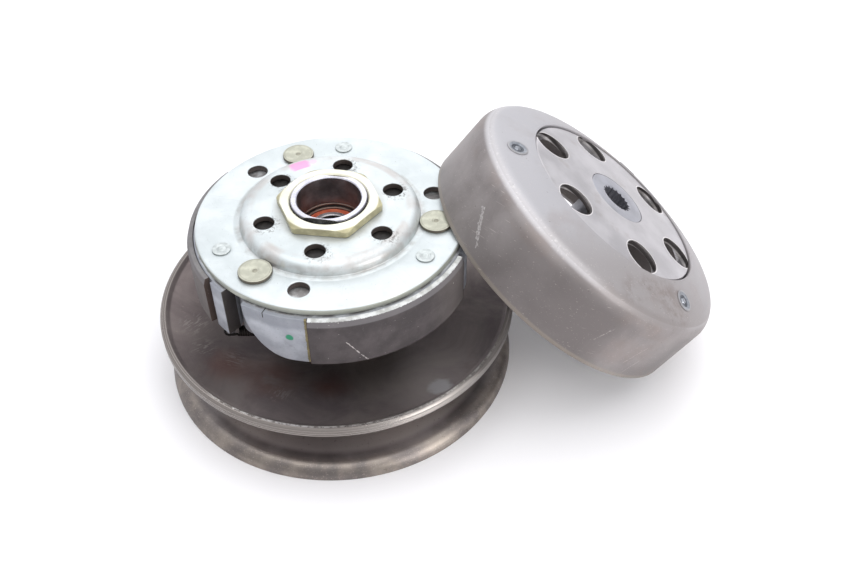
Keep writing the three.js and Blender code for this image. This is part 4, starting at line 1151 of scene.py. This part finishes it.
def bell_hub_solid():
    top = CENTRE_TOP - 0.2
    collar = CENTRE_TOP - 3.1
    solid = turned([
        (5, 22, 0.1), (12, 22, 0.6), (12, collar - 3, 0.8), (19, collar - 3, 0.4), (19, collar, 0.4),
        (14.8, collar), (14.8, top, 0.3), (8.3, top, 0.1), (7.6, top - 0.5), (5, top - 0.5),
    ], 20)
    teeth = 19
    outline = []
    for i in range(teeth):
        for radius, share in ((7, 0), (7, 0.28), (7.9, 0.5), (7.9, 0.78)):
            outline.append(polar(radius, 360 * (i + share) / teeth))
    return boolean(solid, prism(outline, 18, 50))


def bell_rivet_solid():
    return turned([
        (0, -7), (2, -7, 0.4), (2, -3), (3.2, -2.9), (3.2, -0.4), (4.9, 0.1), (4.9, 0.25, 0.1),
        (4.2, 0.35, 0.4), (3, 0.1, 0.4), (2.4, -0.5, 0.4), (1.7, -0.45, 0.4), (1.1, 0.2, 0.5), (0, 0.35),
    ], 20, SMALL)


piece("drum_shell", drum_solid(), BELL, "bell", DRUM, "bell_steel", "bell_skirt", "bell_shoulder")
piece("centre_plate", centre_solid(), BELL, "bell", CENTRE, "bell_plate_steel", "bell_centre")
piece("splined_hub", bell_hub_solid(), BELL, "bell", BELLHUB, "bell_hub_steel", "bell_hub")
for number, turn in enumerate(THIRDS, 1):
    spot = BELL @ rivet_place(turn, MM)
    piece(f"drum_rivet_{number}", bell_rivet_solid(), spot, "bell", BELLRIVET, "bell_steel",
          f"bell_rivet_{number}")


# -------------- floor, light and camera

def floor_look():
    look = Look("pale_floor", 0, "f7f6f7", "f9f8f9", 0.01, 3, 0.3)
    look.stain("b5aeae", 0.25, look.cloud(0.35, 2, 0.77, 0.8))  # specks
    return look.finish(0.55)


half = 6
corners = [(-half, -half, 0), (half, -half, 0), (half, half, 0), (-half, half, 0)]
floor = added("floor", mesh_of(corners, [range(4)]))
floor.data.materials.append(floor_look())
floor.location.z = -0.0002

world = bpy.data.worlds.new("studio")
world.use_nodes = True
scene.world = world

# A studio that is bright above and behind the object, and dimmer on the viewer's side
sky = Nodes(world.node_tree)
direction = sky.node("ShaderNodeTexCoord").outputs["Generated"]
brightest = Vector((0.25, 0.75, 0.55)).normalized()
height = sky.between(sky.vector("DOT_PRODUCT", direction, brightest), -0.6, 0.75)
sky_colour = sky.mix(height, (0.6, 0.6, 0.61, 1), (1.03, 1.04, 1.08, 1))
sky.feed(sky_colour, world.node_tree.nodes["Background"].inputs["Color"])


def softbox(name, position, size, power, aim=(0, 0, 0.04), tint=(1, 1, 1)):
    light = bpy.data.lights.new(name, "AREA")
    light.shape = "DISK"
    light.size = size
    light.energy = power
    light.color = tint
    obj = added(name, light)
    obj.location = position
    obj.rotation_mode = "QUATERNION"
    obj.rotation_quaternion = (Vector(aim) - Vector(position)).to_track_quat("-Z", "Y")


softbox("overhead", (0, 0, 1.1), 1.6, 7)
softbox("back", (0.25, 0.85, 0.6), 0.8, 1)
softbox("front_right", (0.6, -0.75, 0.45), 0.5, 3.2, tint=(1, 0.98, 0.965))

camera = added("camera", bpy.data.cameras.new("camera"))
forward = Vector((0.09265, 0.71495, -0.69301)).normalized()
right = Vector((0.99099, -0.13382, -0.00557)).normalized()
up = right.cross(forward).normalized()
right = forward.cross(up)
camera.rotation_mode = "QUATERNION"
camera.rotation_quaternion = Matrix((right, up, -forward)).transposed().to_quaternion()
camera.location = (AXIS_X * MM, -0.33794, 0.35978)
camera.data.lens = 41.45
camera.data.sensor_width = 36
camera.data.clip_start = 0.01
scene.camera = camera
scene.view_settings.view_transform = "Standard"

bpy.context.view_layer.update()
